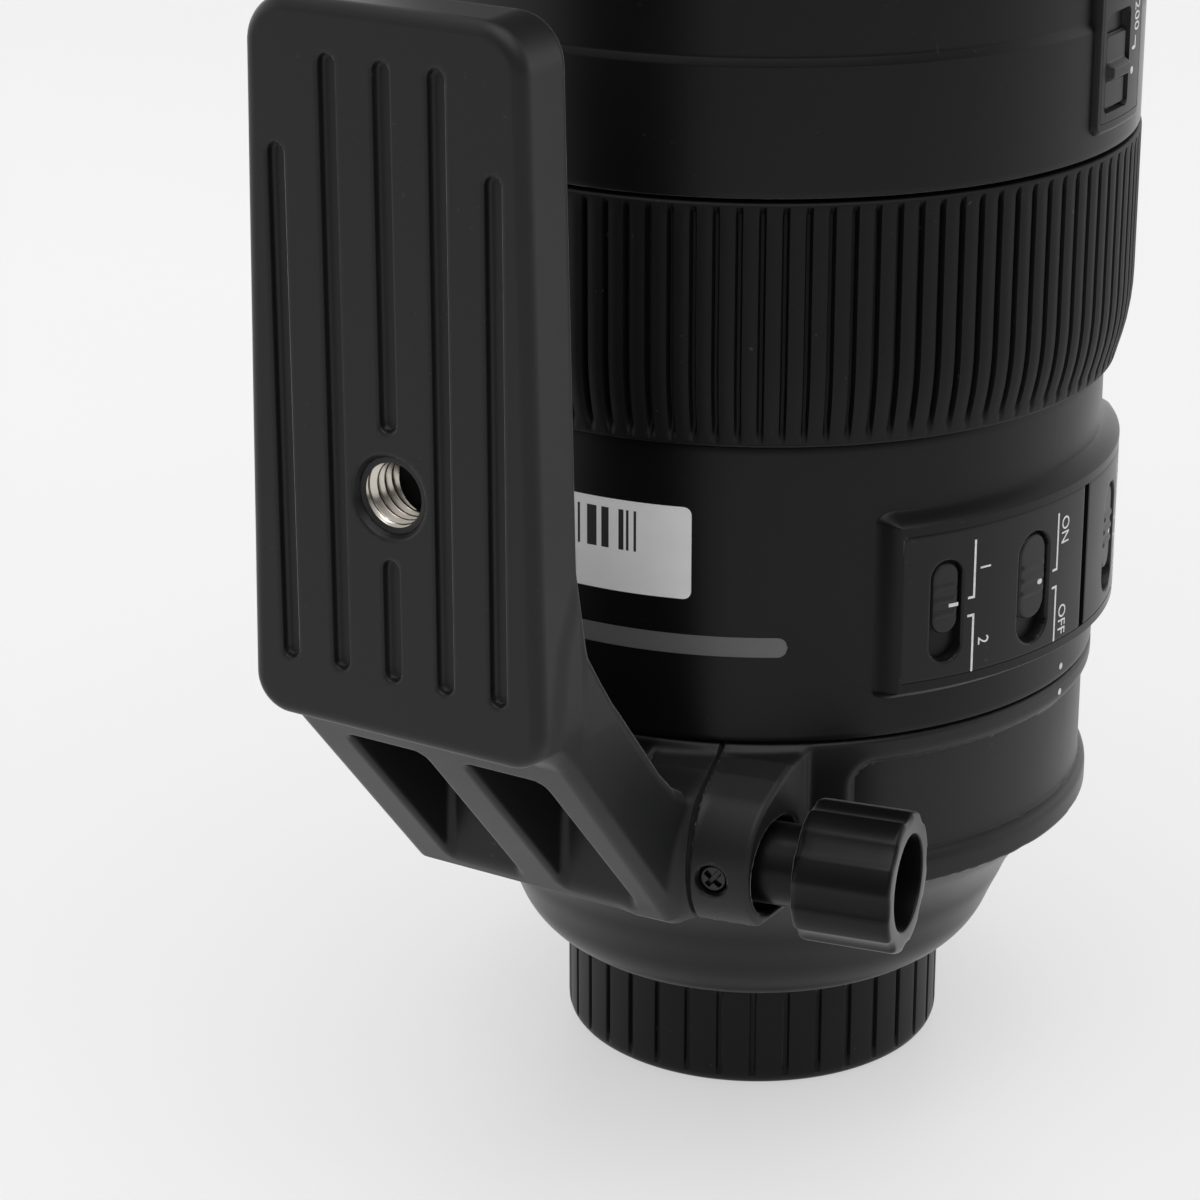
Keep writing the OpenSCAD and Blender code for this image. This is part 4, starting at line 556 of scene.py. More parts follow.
MAIN_R, MAIN_IN, MAIN_Z0, MAIN_Z1, SEAT_Z1 = 48.9, 46.7, 63.6, 105.8, 70.0
NECK_R, NECK_IN, NECK_Z1 = 48.3, 46.2, 148.0
PAD_R, PAD_AZ, PAD_HALF, PAD_Z0, PAD_Z1 = 51.6, 90.0, 42.0, 69.0, 96.0
PANEL_IN, PANEL_Z0, PANEL_Z1, PANEL_AZ0, PANEL_AZ1, JOINT_AZ = 50.0, 72.0, 93.0, 51.5, 128.5, 91.0


def flat_box(u, v, half_u, half_v, corner):
    """Signed distance from a rounded rectangle centred on 0, 0."""
    return prism(np.abs(u) - half_u, np.abs(v) - half_v, corner)


def arc_from(a, az_deg, r):
    """Length of arc in mm, round the radius r, from an azimuth in degrees to the azimuths a."""
    return ((a - math.radians(az_deg) + math.pi) % (2 * math.pi) - math.pi) * r


def pad_swell(a, r, z):
    """The housing rises 2.7 mm over bevels 2.9 mm wide at its sides and 1.7 mm above and below, which meet
    in round corners, and its panel bed goes 1.6 mm down again."""
    arc = arc_from(a, PAD_AZ, PAD_R)
    aside = np.clip(1 - (math.radians(PAD_HALF) * PAD_R - np.abs(arc)) / 2.9, 0, 2)
    above = np.clip(1 - ((PAD_Z1 - PAD_Z0) / 2 - np.abs(z - (PAD_Z0 + PAD_Z1) / 2)) / 1.7, 0, 2)
    slope = np.clip(1 - np.hypot(aside, above), 0, 1)
    rise = (PAD_R - MAIN_R) * (0.7 * slope + 0.3 * step(slope, 0, 1))
    bed = flat_box(arc - math.radians((PANEL_AZ0 + PANEL_AZ1) / 2 - PAD_AZ) * PAD_R,
                   z - (PANEL_Z0 + PANEL_Z1) / 2,
                   math.radians(PANEL_AZ1 - PANEL_AZ0) / 2 * PAD_R, (PANEL_Z1 - PANEL_Z0) / 2, 0.8)
    rise = rise - (PAD_R - PANEL_IN) * (1 - step(bed, -0.06, 0.0))
    return np.where((r > MAIN_R - 0.05) & (z > MAIN_Z0 + 1) & (z < MAIN_Z1 - 1), rise, 0)


def near(places, reach, spacing):
    """Grid places at that spacing, within reach of each of the given places."""
    return np.concatenate([np.arange(p - reach, p + reach, spacing) for p in places])


main_angles = np.radians(np.unique(np.round(np.concatenate([
    np.arange(0, 360, 2.5), near([49.5, 130.5], 2.4, 0.15), near([48.1, 131.9], 0.4, 0.05),
    near([PANEL_AZ0, PANEL_AZ1], 0.3, 0.04), np.arange(48, 132, 1.2)]), 3)))
main_rows = np.unique(np.round(np.concatenate([
    np.arange(MAIN_Z0 + 1, MAIN_Z1 - 1, 2.0), near([PAD_Z0 + 1, PAD_Z1 - 1], 1.8, 0.12),
                                               near([PAD_Z0 + 0.1, PAD_Z1 - 0.1], 0.3, 0.04),
    near([PANEL_Z0, PANEL_Z1], 0.25, 0.04)]), 3))
main_rows = main_rows[(main_rows > MAIN_Z0 + 0.6) & (main_rows < MAIN_Z1 - 0.6)]
main_profile = np.concatenate([
    [(45.6, SEAT_Z1), (45.6, MAIN_Z0), (MAIN_R - 0.5, MAIN_Z0), (MAIN_R - 0.12, MAIN_Z0 + 0.14),
     (MAIN_R, MAIN_Z0 + 0.5)],
    np.stack([np.full(len(main_rows), MAIN_R), main_rows], -1),
    [(MAIN_R, MAIN_Z1 - 0.5), (MAIN_R - 0.14, MAIN_Z1 - 0.12), (MAIN_R - 0.5, MAIN_Z1), (NECK_R, MAIN_Z1),
     (NECK_R, NECK_Z1), (NECK_IN, NECK_Z1), (NECK_IN, MAIN_Z1 - 3), (MAIN_IN, MAIN_Z1 - 3),
     (MAIN_IN, SEAT_Z1)]])
barrel_paint = grained("barrel_paint", 0.003, 0.38, 0.22, 0.008, dust=0.05, shine=0.24, sheen=0.4)
lay("main_barrel_body", turned(main_profile, main_angles, pad_swell), barrel_paint, "barrel",
    crease=35, replaces=("main_barrel",))

# Switch panels and their sliders
# Two moulded plastic panels let into the housing, with a narrow joint between them. Each has two slots, in
# which ridged sliders with a white tick run up and down between two places.

SLIDER_Z, FACE_R, SLOT_FLOOR_R = 81.6, 51.3, 49.75
# Each slider: its azimuth in degrees, then its width, length and travel.
sliders = [(59.0, 4.4, 10.5, 3.5), (76.5, 5.8, 12.6, 3.0), (103.5, 5.8, 12.6, 3.0), (121.0, 4.4, 10.5, 3.5)]


def wrapped(az_deg, z, r):
    """Places at azimuths in degrees, heights and radii, as an array of x, y, z."""
    a, z, r = np.broadcast_arrays(np.radians(az_deg), z, r)
    return np.stack([r * np.sin(a), -r * np.cos(a), z], -1)


def slab(name, az_deg, z, top, under, material, body, crease=35.0, replaces=()):
    """Closed plate over a grid of azimuths and heights: faces at the radii top and under, and walls round
    them."""
    az_deg, z, top, under = np.broadcast_arrays(az_deg, z, top, under)
    rows, columns = top.shape
    index = np.arange(rows * columns).reshape(rows, columns)
    face = np.stack([index[:-1, :-1], index[1:, :-1], index[1:, 1:], index[:-1, 1:]], -1).reshape(-1, 4)
    edge = np.concatenate([index[0, :-1], index[:-1, -1], index[-1, :0:-1], index[:0:-1, 0]])
    ahead, far = np.roll(edge, -1), rows * columns
    wall = np.stack([edge, ahead, ahead + far, edge + far], -1)
    points = np.concatenate([wrapped(az_deg, z, r).reshape(-1, 3) for r in (top, under)])
    return piece(name, points, np.concatenate([face, face[:, ::-1] + far, wall]), material, body,
                 crease, replaces)


def stadium(u, v, half_w, half_l):
    """Signed distance from an upright slot with round ends."""
    return np.hypot(u, np.maximum(np.abs(v) - (half_l - half_w), 0)) - half_w


def panel(name, az0, az1, node):
    """A panel's face at the housing's radius, with eased edges and the slots sunk to their floor."""
    az = np.linspace(az0, az1, round((az1 - az0) * 6))[:, None]
    z = np.linspace(PANEL_Z0 + 0.05, PANEL_Z1 - 0.05, 140)[None, :]
    edge = flat_box(np.radians(az - (az0 + az1) / 2) * PAD_R, z - (PANEL_Z0 + PANEL_Z1) / 2,
                    math.radians(az1 - az0) / 2 * PAD_R, (PANEL_Z1 - PANEL_Z0) / 2 - 0.05, 0.8)
    high = PAD_R - 0.06 * step(edge, -0.25, 0.0)
    for at, w, l, travel in sliders:
        slot = stadium(np.radians(az - at) * PAD_R, z - SLIDER_Z, w / 2 + 0.3, (l + travel) / 2 + 0.3)
        high = np.minimum(high, PAD_R - 0.18 * (1 - step(slot, 0.0, 0.25))
                          - (PAD_R - 0.18 - SLOT_FLOOR_R) * (1 - step(slot, -0.16, 0.0)))
    slab(name, az, z, high, PANEL_IN - 0.3, panel_plastic, "barrel", replaces=(node,))


panel_plastic = grained("panel_plastic", 0.005, 0.4, 0.2, 0.008, dust=0.05, shine=0.3, sheen=0.3)
panel("switch_panel_face_1", PANEL_AZ0 + 0.05, JOINT_AZ - 0.8, "switch_panel_left")
panel("switch_panel_face_2", JOINT_AZ + 0.8, PANEL_AZ1 - 0.05, "switch_panel_right")

slider_plastic = grained("slider_plastic", 0.012, 0.4, 0.25, 0.006, shine=0.35)
mark_white, mark_shader, mark_place = finish("mark_white", Roughness=0.55)
into(mark_place.noise(0.6, 2.0).ramp(0.25, 0.6).blend(grey(0.62), grey(0.78)), mark_shader, "Base Color")


def printed(name, az_deg, z, width, height, r, body, round_ends=0.0):
    """A printed mark, a very thin plate of ink on a surface of radius r."""
    u, v = np.linspace(-1, 1, 9)[:, None], np.linspace(-1, 1, 13)[None, :]
    if round_ends:
        angle = np.arctan2(v, u)
        square = np.maximum(np.abs(u), np.abs(v))
        u, v = square * np.cos(angle), square * np.sin(angle)
    az, at = az_deg + np.degrees(u * width / 2 / r), z + v * height / 2
    slab(name, az, at, r + 0.045, r - 0.02, mark_white, body)


for number, (at, w, l, travel) in enumerate(sliders, 1):
    top = SLIDER_Z + (l + travel) / 2
    along = np.unique(np.concatenate([np.linspace(-1, 1, 91), np.sign(np.linspace(-1, 1, 40)) * (
        1 - (1 - np.abs(np.linspace(-1, 1, 40))) ** 3)]))[None, :] * l / 2
    across = np.sin(np.linspace(-1, 1, 25) * math.pi / 2)[:, None]
    round_w = np.sqrt(np.maximum((w / 2) ** 2 - np.maximum(np.abs(along) - (l - w) / 2, 0) ** 2, 0))
    u, v = across * round_w, along + 0 * across
    rim = stadium(u, v, w / 2, l / 2)
    waves = sum(step(np.abs(v - k * 1.9 + 0.3), 0.5, 0.2) for k in range(-1, 2))
    high = FACE_R - 0.5 * step(rim, -0.6, 0.0) ** 2 + 0.22 * waves * step(rim, -0.35, -0.85)
    az, z = at + np.degrees(u / FACE_R), top - l / 2 + v
    slab(f"slider_{number}_cap", az, z, high, SLOT_FLOOR_R + 0.1, slider_plastic,
         f"slider_{number}", crease=45, replaces=(f"switch_slider_{number}",))
    outer = number in (1, 4)
    printed(f"slider_{number}_tick", at + math.degrees((w / 2 - (0.95 if outer else 1.35)) / FACE_R),
            top - l / 2 - 1.1,
            1.5 if outer else 1.0, 0.5 if outer else 0.8, FACE_R, f"slider_{number}",
            round_ends=not outer)

# Printed marks on the barrel
# White silk-screen lines beside each slot, with plain generic labels, and the two index dots of the collar.
# Each is a very thin plate of ink on the surface that carries it.


def lettered(name, words, size, az_deg, z, r, body):
    """Words set flat, then bent round a cylinder so that they read downwards, with their tops to the
    right."""
    letters = bpy.data.curves.new(name, "FONT")
    letters.body, letters.size, letters.extrude = words, size, 0.03
    letters.align_x, letters.align_y, letters.resolution_u = "CENTER", "CENTER", 3
    holder = bpy.data.objects.new(name, letters)
    bpy.context.scene.collection.objects.link(holder)
    flat = bpy.data.meshes.new_from_object(holder.evaluated_get(bpy.context.evaluated_depsgraph_get()))
    place = np.array([v.co for v in flat.vertices])
    faces = [list(f.vertices) for f in flat.polygons]
    bpy.data.objects.remove(holder)
    bpy.data.curves.remove(letters)
    bpy.data.meshes.remove(flat)
    points = wrapped(az_deg + np.degrees(place[:, 1] / r), z - place[:, 0], r + 0.02 + place[:, 2])
    return piece(name, points, faces, mark_white, body, crease=20)


for number, (at, w, l, travel) in enumerate(sliders, 1):
    side = at + math.degrees((w / 2 + 2.2) / PAD_R)
    for tip, half in ((1, "upper"), (-1, "lower")):
        past = 2.5 if number in (1, 4) else 1.6
        inner, outer = SLIDER_Z + tip * 1.3, SLIDER_Z + tip * ((l + travel) / 2 + past)
        printed(f"mark_{number}_{half}_line", side, (inner + outer) / 2, 0.32, abs(outer - inner), PAD_R,
                "barrel")
        printed(f"mark_{number}_{half}_hook", side - math.degrees(0.42 / PAD_R), inner, 1.15, 0.34, PAD_R,
                "barrel")
    words = ("1", "2") if number in (1, 4) else ("ON", "OFF")
    for tip, word in zip((1, -1), words):
        lettered(f"mark_{number}_word_{word}", word, 2.6, side + math.degrees(1.75 / PAD_R),
                 SLIDER_Z + tip * (5.3 if number in (1, 4) else 6.6), PAD_R,
                 "barrel")
printed("index_dot_barrel", 90.8, 65.4, 0.95, 0.95, MAIN_R, "barrel", round_ends=1)
printed("index_dot_collar", 90.8, 61.5, 0.95, 0.95, RING_R, "collar", round_ends=1)

# Sticker and bare strip on the main barrel
# A white paper sticker with plain bars, and a smooth grey strip with round ends that carries nothing. The
# paper is glued to the paint, and the strip is printed on it.

paper, paper_shader, paper_place = finish("sticker_paper", Roughness=0.6)
paper_uv = paper_place.add("ShaderNodeUVMap", {"uv_map": "UVMap"})
paper_u = paper_uv.add("ShaderNodeSeparateXYZ", {}, {0: paper_uv})
paper_v = paper_uv.add("ShaderNodeSeparateXYZ", {}, {0: paper_uv}, out=1)
bar_seed = paper_u.add("ShaderNodeTexWhiteNoise", {"noise_dimensions": "1D"}, {
    "W": paper_u.sum("FLOOR", paper_u * 70.0, 0.0)})
bars = (bar_seed > 0.46) * (paper_u > 0.2) * (paper_u < 0.7) * (paper_v > 0.46) * (paper_v < 0.9)
paper_tone = paper_place.noise(3.0, 3.0).ramp(0.3, 0.7).blend(grey(0.92), grey(0.95))
into(bars.blend(paper_tone, grey(0.02)), paper_shader, "Base Color")
STICKER_AZ0, STICKER_AZ1, STICKER_Z0, STICKER_Z1, STICKER_CORNER = -11.0, 19.0, 84.0, 97.0, 1.1
sticker_u, sticker_v = np.linspace(0, 1, 40)[:, None], np.linspace(0, 1, 30)[None, :]
sticker_z = STICKER_Z0 + (STICKER_Z1 - STICKER_Z0) * (1 - np.cos(sticker_v * math.pi)) / 2
sticker_off = np.abs(sticker_z - (STICKER_Z0 + STICKER_Z1) / 2)
sticker_in = np.maximum(sticker_off - (STICKER_Z1 - STICKER_Z0) / 2 + STICKER_CORNER, 0)
sticker_cut = STICKER_CORNER - np.sqrt(np.maximum(STICKER_CORNER ** 2 - sticker_in ** 2, 0))
sticker_half = (STICKER_AZ1 - STICKER_AZ0) / 2 - np.degrees(sticker_cut / MAIN_R)
sticker_az = (STICKER_AZ0 + STICKER_AZ1) / 2 + (2 * sticker_u - 1) * sticker_half
sticker = slab("paper_sticker", sticker_az, sticker_z, MAIN_R + 0.1, MAIN_R - 0.02, paper, "barrel")
sticker_at = np.array([v.co for v in sticker.data.vertices])
sticker_turn = np.degrees(np.arctan2(sticker_at[:, 0], -sticker_at[:, 1]))
sticker_map = np.stack([(sticker_turn - STICKER_AZ0) / (STICKER_AZ1 - STICKER_AZ0),
                        (sticker_at[:, 2] / MM - STICKER_Z0) / (STICKER_Z1 - STICKER_Z0)], -1)
sticker_corner = np.zeros(len(sticker.data.loops), int)
sticker.data.loops.foreach_get("vertex_index", sticker_corner)
sticker.data.uv_layers.new(name="UVMap").data.foreach_set("uv", sticker_map[sticker_corner].ravel())

strip_grey = grained("strip_grey", 0.13, 0.5, 0.3, 0.004, uneven=0.1)
strip_u, strip_v = np.linspace(-1, 1, 120)[:, None], np.linspace(-1, 1, 9)[None, :]
strip_half = 1.4 * np.sqrt(np.clip(1 - np.clip((np.abs(strip_u) * 17.0 - 15.6) / 1.4, 0, 1) ** 2, 0, 1))
strip_az = 14.4 + np.degrees(strip_u * 17.0 / MAIN_R)
slab("bare_strip", strip_az, 77.5 + strip_v * strip_half, MAIN_R + 0.04, MAIN_R - 0.02, strip_grey,
     "barrel")

# Focus ring and its grip
# A thin turned ring that turns on the barrel's neck, with a rubber band stretched over it. The rubber has
# 110 upright ribs with narrow gaps, and narrows towards its lower edge.

FOCUS_R, FOCUS_IN, FOCUS_Z0, FOCUS_Z1 = 49.9, 48.6, 106.1, 139.9
GRIP_R, GRIP_LOW_R, GRIP_Z0, GRIP_Z1, RIBS = 52.5, 50.4, 106.5, 139.7, 110
ring_black = grained("ring_black", 0.005, 0.42, 0.25, 0.008, shine=0.3, sheen=0.4)
lay("focus_ring_turned", turned(eased([(FOCUS_IN, FOCUS_Z0), (FOCUS_R, FOCUS_Z0), (FOCUS_R, FOCUS_Z1),
                                       (FOCUS_IN, FOCUS_Z1)],
                                      0.2), evenly(160)), ring_black, "focus_hand",
    replaces=("focus_ring",))
grip_rubber = grained("grip_rubber", 0.004, 0.54, 0.3, 0.01, uneven=0.22, dust=0.12, shine=0.22)
rib_angles = repeated(RIBS, [-0.5, -0.36, -0.28, -0.2, 0.2, 0.28, 0.36, 0.5, 0.9, 1.45, 2.0], GRIP_R)


def grip_ribs(a, r, z):
    """Gaps between the ribs, 0.7 mm wide and up to 1.1 mm deep, that run out at both ends."""
    off = from_gap(a, RIBS, GRIP_R)
    deep = np.clip(r - 50.35, 0, 1.1) * step(z, 107.0, 108.2) * (1 - step(z, 138.3, 138.9))
    crown = 0.12 * step(off, 1.5, 0.5)
    return -deep * (1 - step(off, 0.22, 0.46)) - np.where(deep > 0.2, crown, 0)


grip_profile = divided(eased([(FOCUS_R + 0.05, GRIP_Z0), (GRIP_LOW_R, GRIP_Z0), (GRIP_R, 114.1),
                              (GRIP_R, GRIP_Z1),
                              (FOCUS_R + 0.05, GRIP_Z1)], [0.1, 0.2, 5.0, 0.5, 0.1]), 1.2)
lay("focus_grip_ribbed", turned(grip_profile, rib_angles, grip_ribs), grip_rubber, "focus_hand",
    crease=40, replaces=("focus_grip",))

# Middle barrel and zoom lock
# The fixed barrel between the two rings, with a low ledge round it. A raised plate holds the zoom lock, a
# slider with a bar across it for the thumb; "200", a short hooked line and a dot are printed beside it.

MID_R, MID_Z0, MID_Z1, LEDGE_Z, LEDGE_D = 52.3, 140.2, 176.0, 158.4, 0.5
BEARING_R, BEARING_IN, BEARING_Z1 = 50.7, 49.7, 245.3
LOCK_R, LOCK_AZ, LOCK_HALF, LOCK_Z0, LOCK_Z1 = 53.1, 93.0, 8.3, 143.2, 171.2
LOCK_SLOT_Z0, LOCK_SLOT_Z1 = 146.0, 159.2
LOCK_PLATE_HALF, LOCK_PLATE_Z0, LOCK_PLATE_Z1, LOCK_BED_R, LOCK_SLIDE_AZ = 7.2, 144.7, 169.7, 51.9, 91.0
lock_middle = (LOCK_Z0 + LOCK_Z1) / 2


def lock_swell(a, r, z):
    """The low housing of the zoom lock, with eased edges, and the bed of its plate."""
    arc = arc_from(a, LOCK_AZ, LOCK_R)
    pad = flat_box(arc, z - lock_middle, math.radians(LOCK_HALF) * LOCK_R, (LOCK_Z1 - LOCK_Z0) / 2, 1.5)
    rise = (LOCK_R - r) * np.sqrt(np.clip(1 - np.clip(1 + pad / 0.7, 0, 1) ** 2, 0, 1))
    bed = flat_box(arc, z - lock_middle, math.radians(LOCK_PLATE_HALF) * LOCK_R,
                   (LOCK_PLATE_Z1 - LOCK_PLATE_Z0) / 2, 0.5)
    rise = np.where(bed < 0, LOCK_BED_R - r, rise)
    return np.where((r > MID_R - LEDGE_D - 0.05) & (z > MID_Z0 + 0.6) & (z < MID_Z1 - 0.6), rise, 0)


mid_angles = np.radians(np.unique(np.round(np.concatenate([
    np.arange(0, 360, 2.5), np.arange(83.5, 104.6, 0.1), near([LOCK_AZ - LOCK_PLATE_HALF,
                                                               LOCK_AZ + LOCK_PLATE_HALF],
                                                              0.06, 0.02)]), 3)))
mid_rows = np.unique(np.round(np.concatenate([
    np.arange(MID_Z0 + 1, MID_Z1 - 1, 0.8), near([LOCK_Z0, LOCK_Z1], 1.0, 0.1),
                                              near([LOCK_PLATE_Z0, LOCK_PLATE_Z1], 0.05, 0.02)]), 3))
mid_rows = mid_rows[(mid_rows > MID_Z0 + 0.5) & (mid_rows < MID_Z1 - 0.6)]
mid_low, mid_high = mid_rows[mid_rows < LEDGE_Z - 1.2], mid_rows[mid_rows > LEDGE_Z + 0.1]
mid_profile = np.concatenate([
    [(NECK_R + 0.05, NECK_Z1), (NECK_R + 0.05, MID_Z0), (MID_R - 0.4, MID_Z0), (MID_R - 0.1, MID_Z0 + 0.12),
     (MID_R, MID_Z0 + 0.4)],
    np.stack([np.full(len(mid_low), MID_R), mid_low], -1),
    [(MID_R, LEDGE_Z - 1.15), (MID_R - 0.03, LEDGE_Z - 0.95), (MID_R - LEDGE_D + 0.04, LEDGE_Z - 0.1),
     (MID_R - LEDGE_D, LEDGE_Z)],
    np.stack([np.full(len(mid_high), MID_R - LEDGE_D), mid_high], -1),
    [(MID_R - LEDGE_D, MID_Z1 - 0.4), (MID_R - LEDGE_D - 0.3, MID_Z1), (BEARING_R, MID_Z1),
     (BEARING_R, BEARING_Z1),
     (BEARING_IN, BEARING_Z1), (BEARING_IN, NECK_Z1)]])
lay("mid_barrel_body", turned(mid_profile, mid_angles, lock_swell), barrel_paint, "barrel",
    crease=35, replaces=("mid_barrel",))

lock_az = np.linspace(LOCK_AZ - LOCK_PLATE_HALF + 0.05, LOCK_AZ + LOCK_PLATE_HALF - 0.05, 100)[:, None]
lock_z = np.linspace(LOCK_PLATE_Z0 + 0.05, LOCK_PLATE_Z1 - 0.05, 190)[None, :]
lock_edge = flat_box(np.radians(lock_az - LOCK_AZ) * LOCK_R, lock_z - lock_middle,
                     math.radians(LOCK_PLATE_HALF) * LOCK_R, (LOCK_PLATE_Z1 - LOCK_PLATE_Z0) / 2, 0.5)
lock_slot = flat_box(np.radians(lock_az - LOCK_SLIDE_AZ) * LOCK_R,
                     lock_z - (LOCK_SLOT_Z0 + LOCK_SLOT_Z1) / 2, 3.7,
                     (LOCK_SLOT_Z1 - LOCK_SLOT_Z0) / 2, 1.0)
lock_high = LOCK_R - 0.05 * step(lock_edge, -0.2, 0.0) - 1.15 * (1 - step(lock_slot, -0.1, 0.1))
slab("zoom_lock_face", lock_az, lock_z, lock_high, LOCK_BED_R - 0.1, panel_plastic, "barrel",
     replaces=("zoom_lock_plate",))
thumb_u, thumb_v = np.linspace(-3.4, 3.4, 51)[:, None], np.linspace(-5.05, 5.05, 121)[None, :]
thumb_rim = flat_box(thumb_u, thumb_v, 3.4, 5.05, 0.7)
thumb_bar = step(np.abs(thumb_v), 1.5, 0.5) * step(np.abs(thumb_u), 3.1, 2.5)
thumb_high = 52.75 - 0.4 * step(thumb_rim, -0.35, 0.0) + 1.05 * thumb_bar
thumb_az, thumb_z = LOCK_SLIDE_AZ + np.degrees(thumb_u / LOCK_R), 151.35 + thumb_v
slab("zoom_lock_thumb", thumb_az, thumb_z, thumb_high, 52.02, slider_plastic, "zoom_lock",
     replaces=("zoom_lock_slider",))
lettered("lock_number", "200", 2.8, 97.8, 157.5, LOCK_R, "barrel")
printed("lock_line", 97.5, 154.0, 0.34, 1.7, LOCK_R, "barrel")
printed("lock_line_hook", 96.9, 153.3, 1.5, 0.5, LOCK_R, "barrel", round_ends=1)
printed("lock_dot", 96.5, 150.3, 1.0, 1.0, LOCK_R, "barrel", round_ends=1)

# Zoom ring and its grip
# The wide ring that the hand turns to zoom, with a ribbed rubber band over it; it isn't in the photo, so
# its ribs follow the focus ring's. A plain scale of lengths is printed on its upper rim.

ZOOM_R, ZOOM_IN, ZOOM_Z0, ZOOM_Z1, ZOOM_GRIP_R, ZOOM_RIBS = 52.4, 51.0, 176.3, 247.8, 53.98, 90
lay("zoom_ring_turned", turned(divided(eased([(ZOOM_IN, ZOOM_Z0), (ZOOM_R, ZOOM_Z0), (ZOOM_R, ZOOM_Z1),
                                              (ZOOM_IN, ZOOM_Z1)],
                                             0.35), 6.0), evenly(160)), ring_black, "zoom_hand",
    replaces=("zoom_ring",))
ZOOM_BANDS = ((180.4, 198.97), (201.77, 220.33), (223.13, 241.7))
zoom_angles = repeated(ZOOM_RIBS, [-0.66, -0.52, -0.42, -0.3, 0.3, 0.42, 0.52, 0.66, 1.2, 1.9, 2.5],
                       ZOOM_GRIP_R)


def zoom_grip_ribs(a, r, z):
    """Three bands of upright ribs, with smooth rubber rings between them and at both ends."""
    off = from_gap(a, ZOOM_RIBS, ZOOM_GRIP_R)
    band = sum(step(z, z0, z0 + 0.7) * (1 - step(z, z1 - 0.7, z1)) for z0, z1 in ZOOM_BANDS)
    deep = np.clip(r - 52.85, 0, 1.0) * band
    return -deep * (1 - step(off, 0.3, 0.6))


zoom_profile = divided(eased([(ZOOM_R + 0.05, 178.3), (ZOOM_GRIP_R, 178.3), (ZOOM_GRIP_R, 243.8),
                              (ZOOM_R + 0.05, 243.8)],
                             [0.1, 0.6, 0.6, 0.1]), 0.7)
lay("zoom_grip_ribbed", turned(zoom_profile, zoom_angles, zoom_grip_ribs), grip_rubber, "zoom_hand",
    crease=40, replaces=("zoom_grip",))
zoom_scale = (("200", 94.0), ("250", 112.0), ("300", 130.0), ("400", 152.0), ("500", 172.0))
for number, (words, at) in enumerate(zoom_scale, 1):
    letters = lettered(f"zoom_scale_{number}", words, 2.7, 0.0, 0.0, ZOOM_R, "zoom_hand")
    at_rest = np.array([v.co for v in letters.data.vertices]) / MM
    arc = np.arctan2(at_rest[:, 0], -at_rest[:, 1]) * ZOOM_R
    high, out = at_rest[:, 2], np.hypot(at_rest[:, 0], at_rest[:, 1])
    letters.data.vertices.foreach_set("co", (wrapped(at - np.degrees(high / ZOOM_R), 245.9 + arc,
                                                     out) * MM).ravel())

# Front barrel
# The barrel that moves out with the zoom: a groove for the hood's bayonet outside, a 1 mm filter thread
# inside the mouth. It holds the front cell and is screwed to the extension tube.

FRONT_R, FRONT_IN, FRONT_Z0, FRONT_Z1 = 52.4, 50.2, 248.1, 283.8
FILTER_R, FILTER_Z0, FLANGE_IN, FLANGE_Z = 46.96, 274.8, 47.45, 250.1
front_thread_z = np.linspace(FRONT_Z1 - 0.7, FILTER_Z0 + 2.0, 90)
front_profile = np.concatenate([
    eased([(FLANGE_IN, FRONT_Z0), (FRONT_R, FRONT_Z0), (FRONT_R, 264.1), (FRONT_R - 0.6, 264.7),
           (FRONT_R - 0.6, 268.1),
           (FRONT_R, 268.7), (FRONT_R, FRONT_Z1), (FILTER_R + 1.0, FRONT_Z1)],
          [0, 0.5, 0.2, 0.2, 0.2, 0.2, 0.9, 0], closed=False),
    np.stack([np.full(90, FILTER_R + 0.5), front_thread_z], -1),
    [(FILTER_R, FILTER_Z0 + 1.8), (FILTER_R, FILTER_Z0), (FRONT_IN, FILTER_Z0), (FRONT_IN, FLANGE_Z),
     (FLANGE_IN, FLANGE_Z)]])


def filter_thread(a, r, z):
    """A screw thread of 1 mm pitch on the places of the mouth's wall."""
    wave = np.abs((z - a / (2 * math.pi)) % 1 - 0.5) * 2
    return np.where(np.abs(r - FILTER_R - 0.5) < 1e-6, -0.5 * np.clip(wave * 1.4 - 0.2, 0, 1), 0)


lay("front_barrel_body", turned(front_profile, evenly(240), filter_thread), barrel_paint, "front_group",
    crease=35, replaces=("front_barrel",))

# Glass
# Ground and coated elements, held in their cells; the coating gives each a faint green and violet sheen.
# They keep the shapes that the construction gave them.

lens_glass, glass_shader, glass_place = finish("lens_glass", Transmission_Weight=1.0, IOR=1.6,
                                               Thin_Film_Thickness=420.0,
                                               Thin_Film_IOR=1.38)
glass_cloud = glass_place.noise(14.0, 3.0)
into(glass_cloud.ramp(0.3, 0.7).blend((0.96, 0.99, 0.97, 1.0), (0.99, 0.98, 1.0, 1.0)), glass_shader,
     "Base Color")
into(glass_cloud.ramp(0.45, 0.75) * 0.012, glass_shader, "Roughness")

# Pieces kept as the construction made them
# Mount, cells, tubes, cams, blades, board and screws inside the lens take the finish of their record slot.
# Their shapes stay as they are.

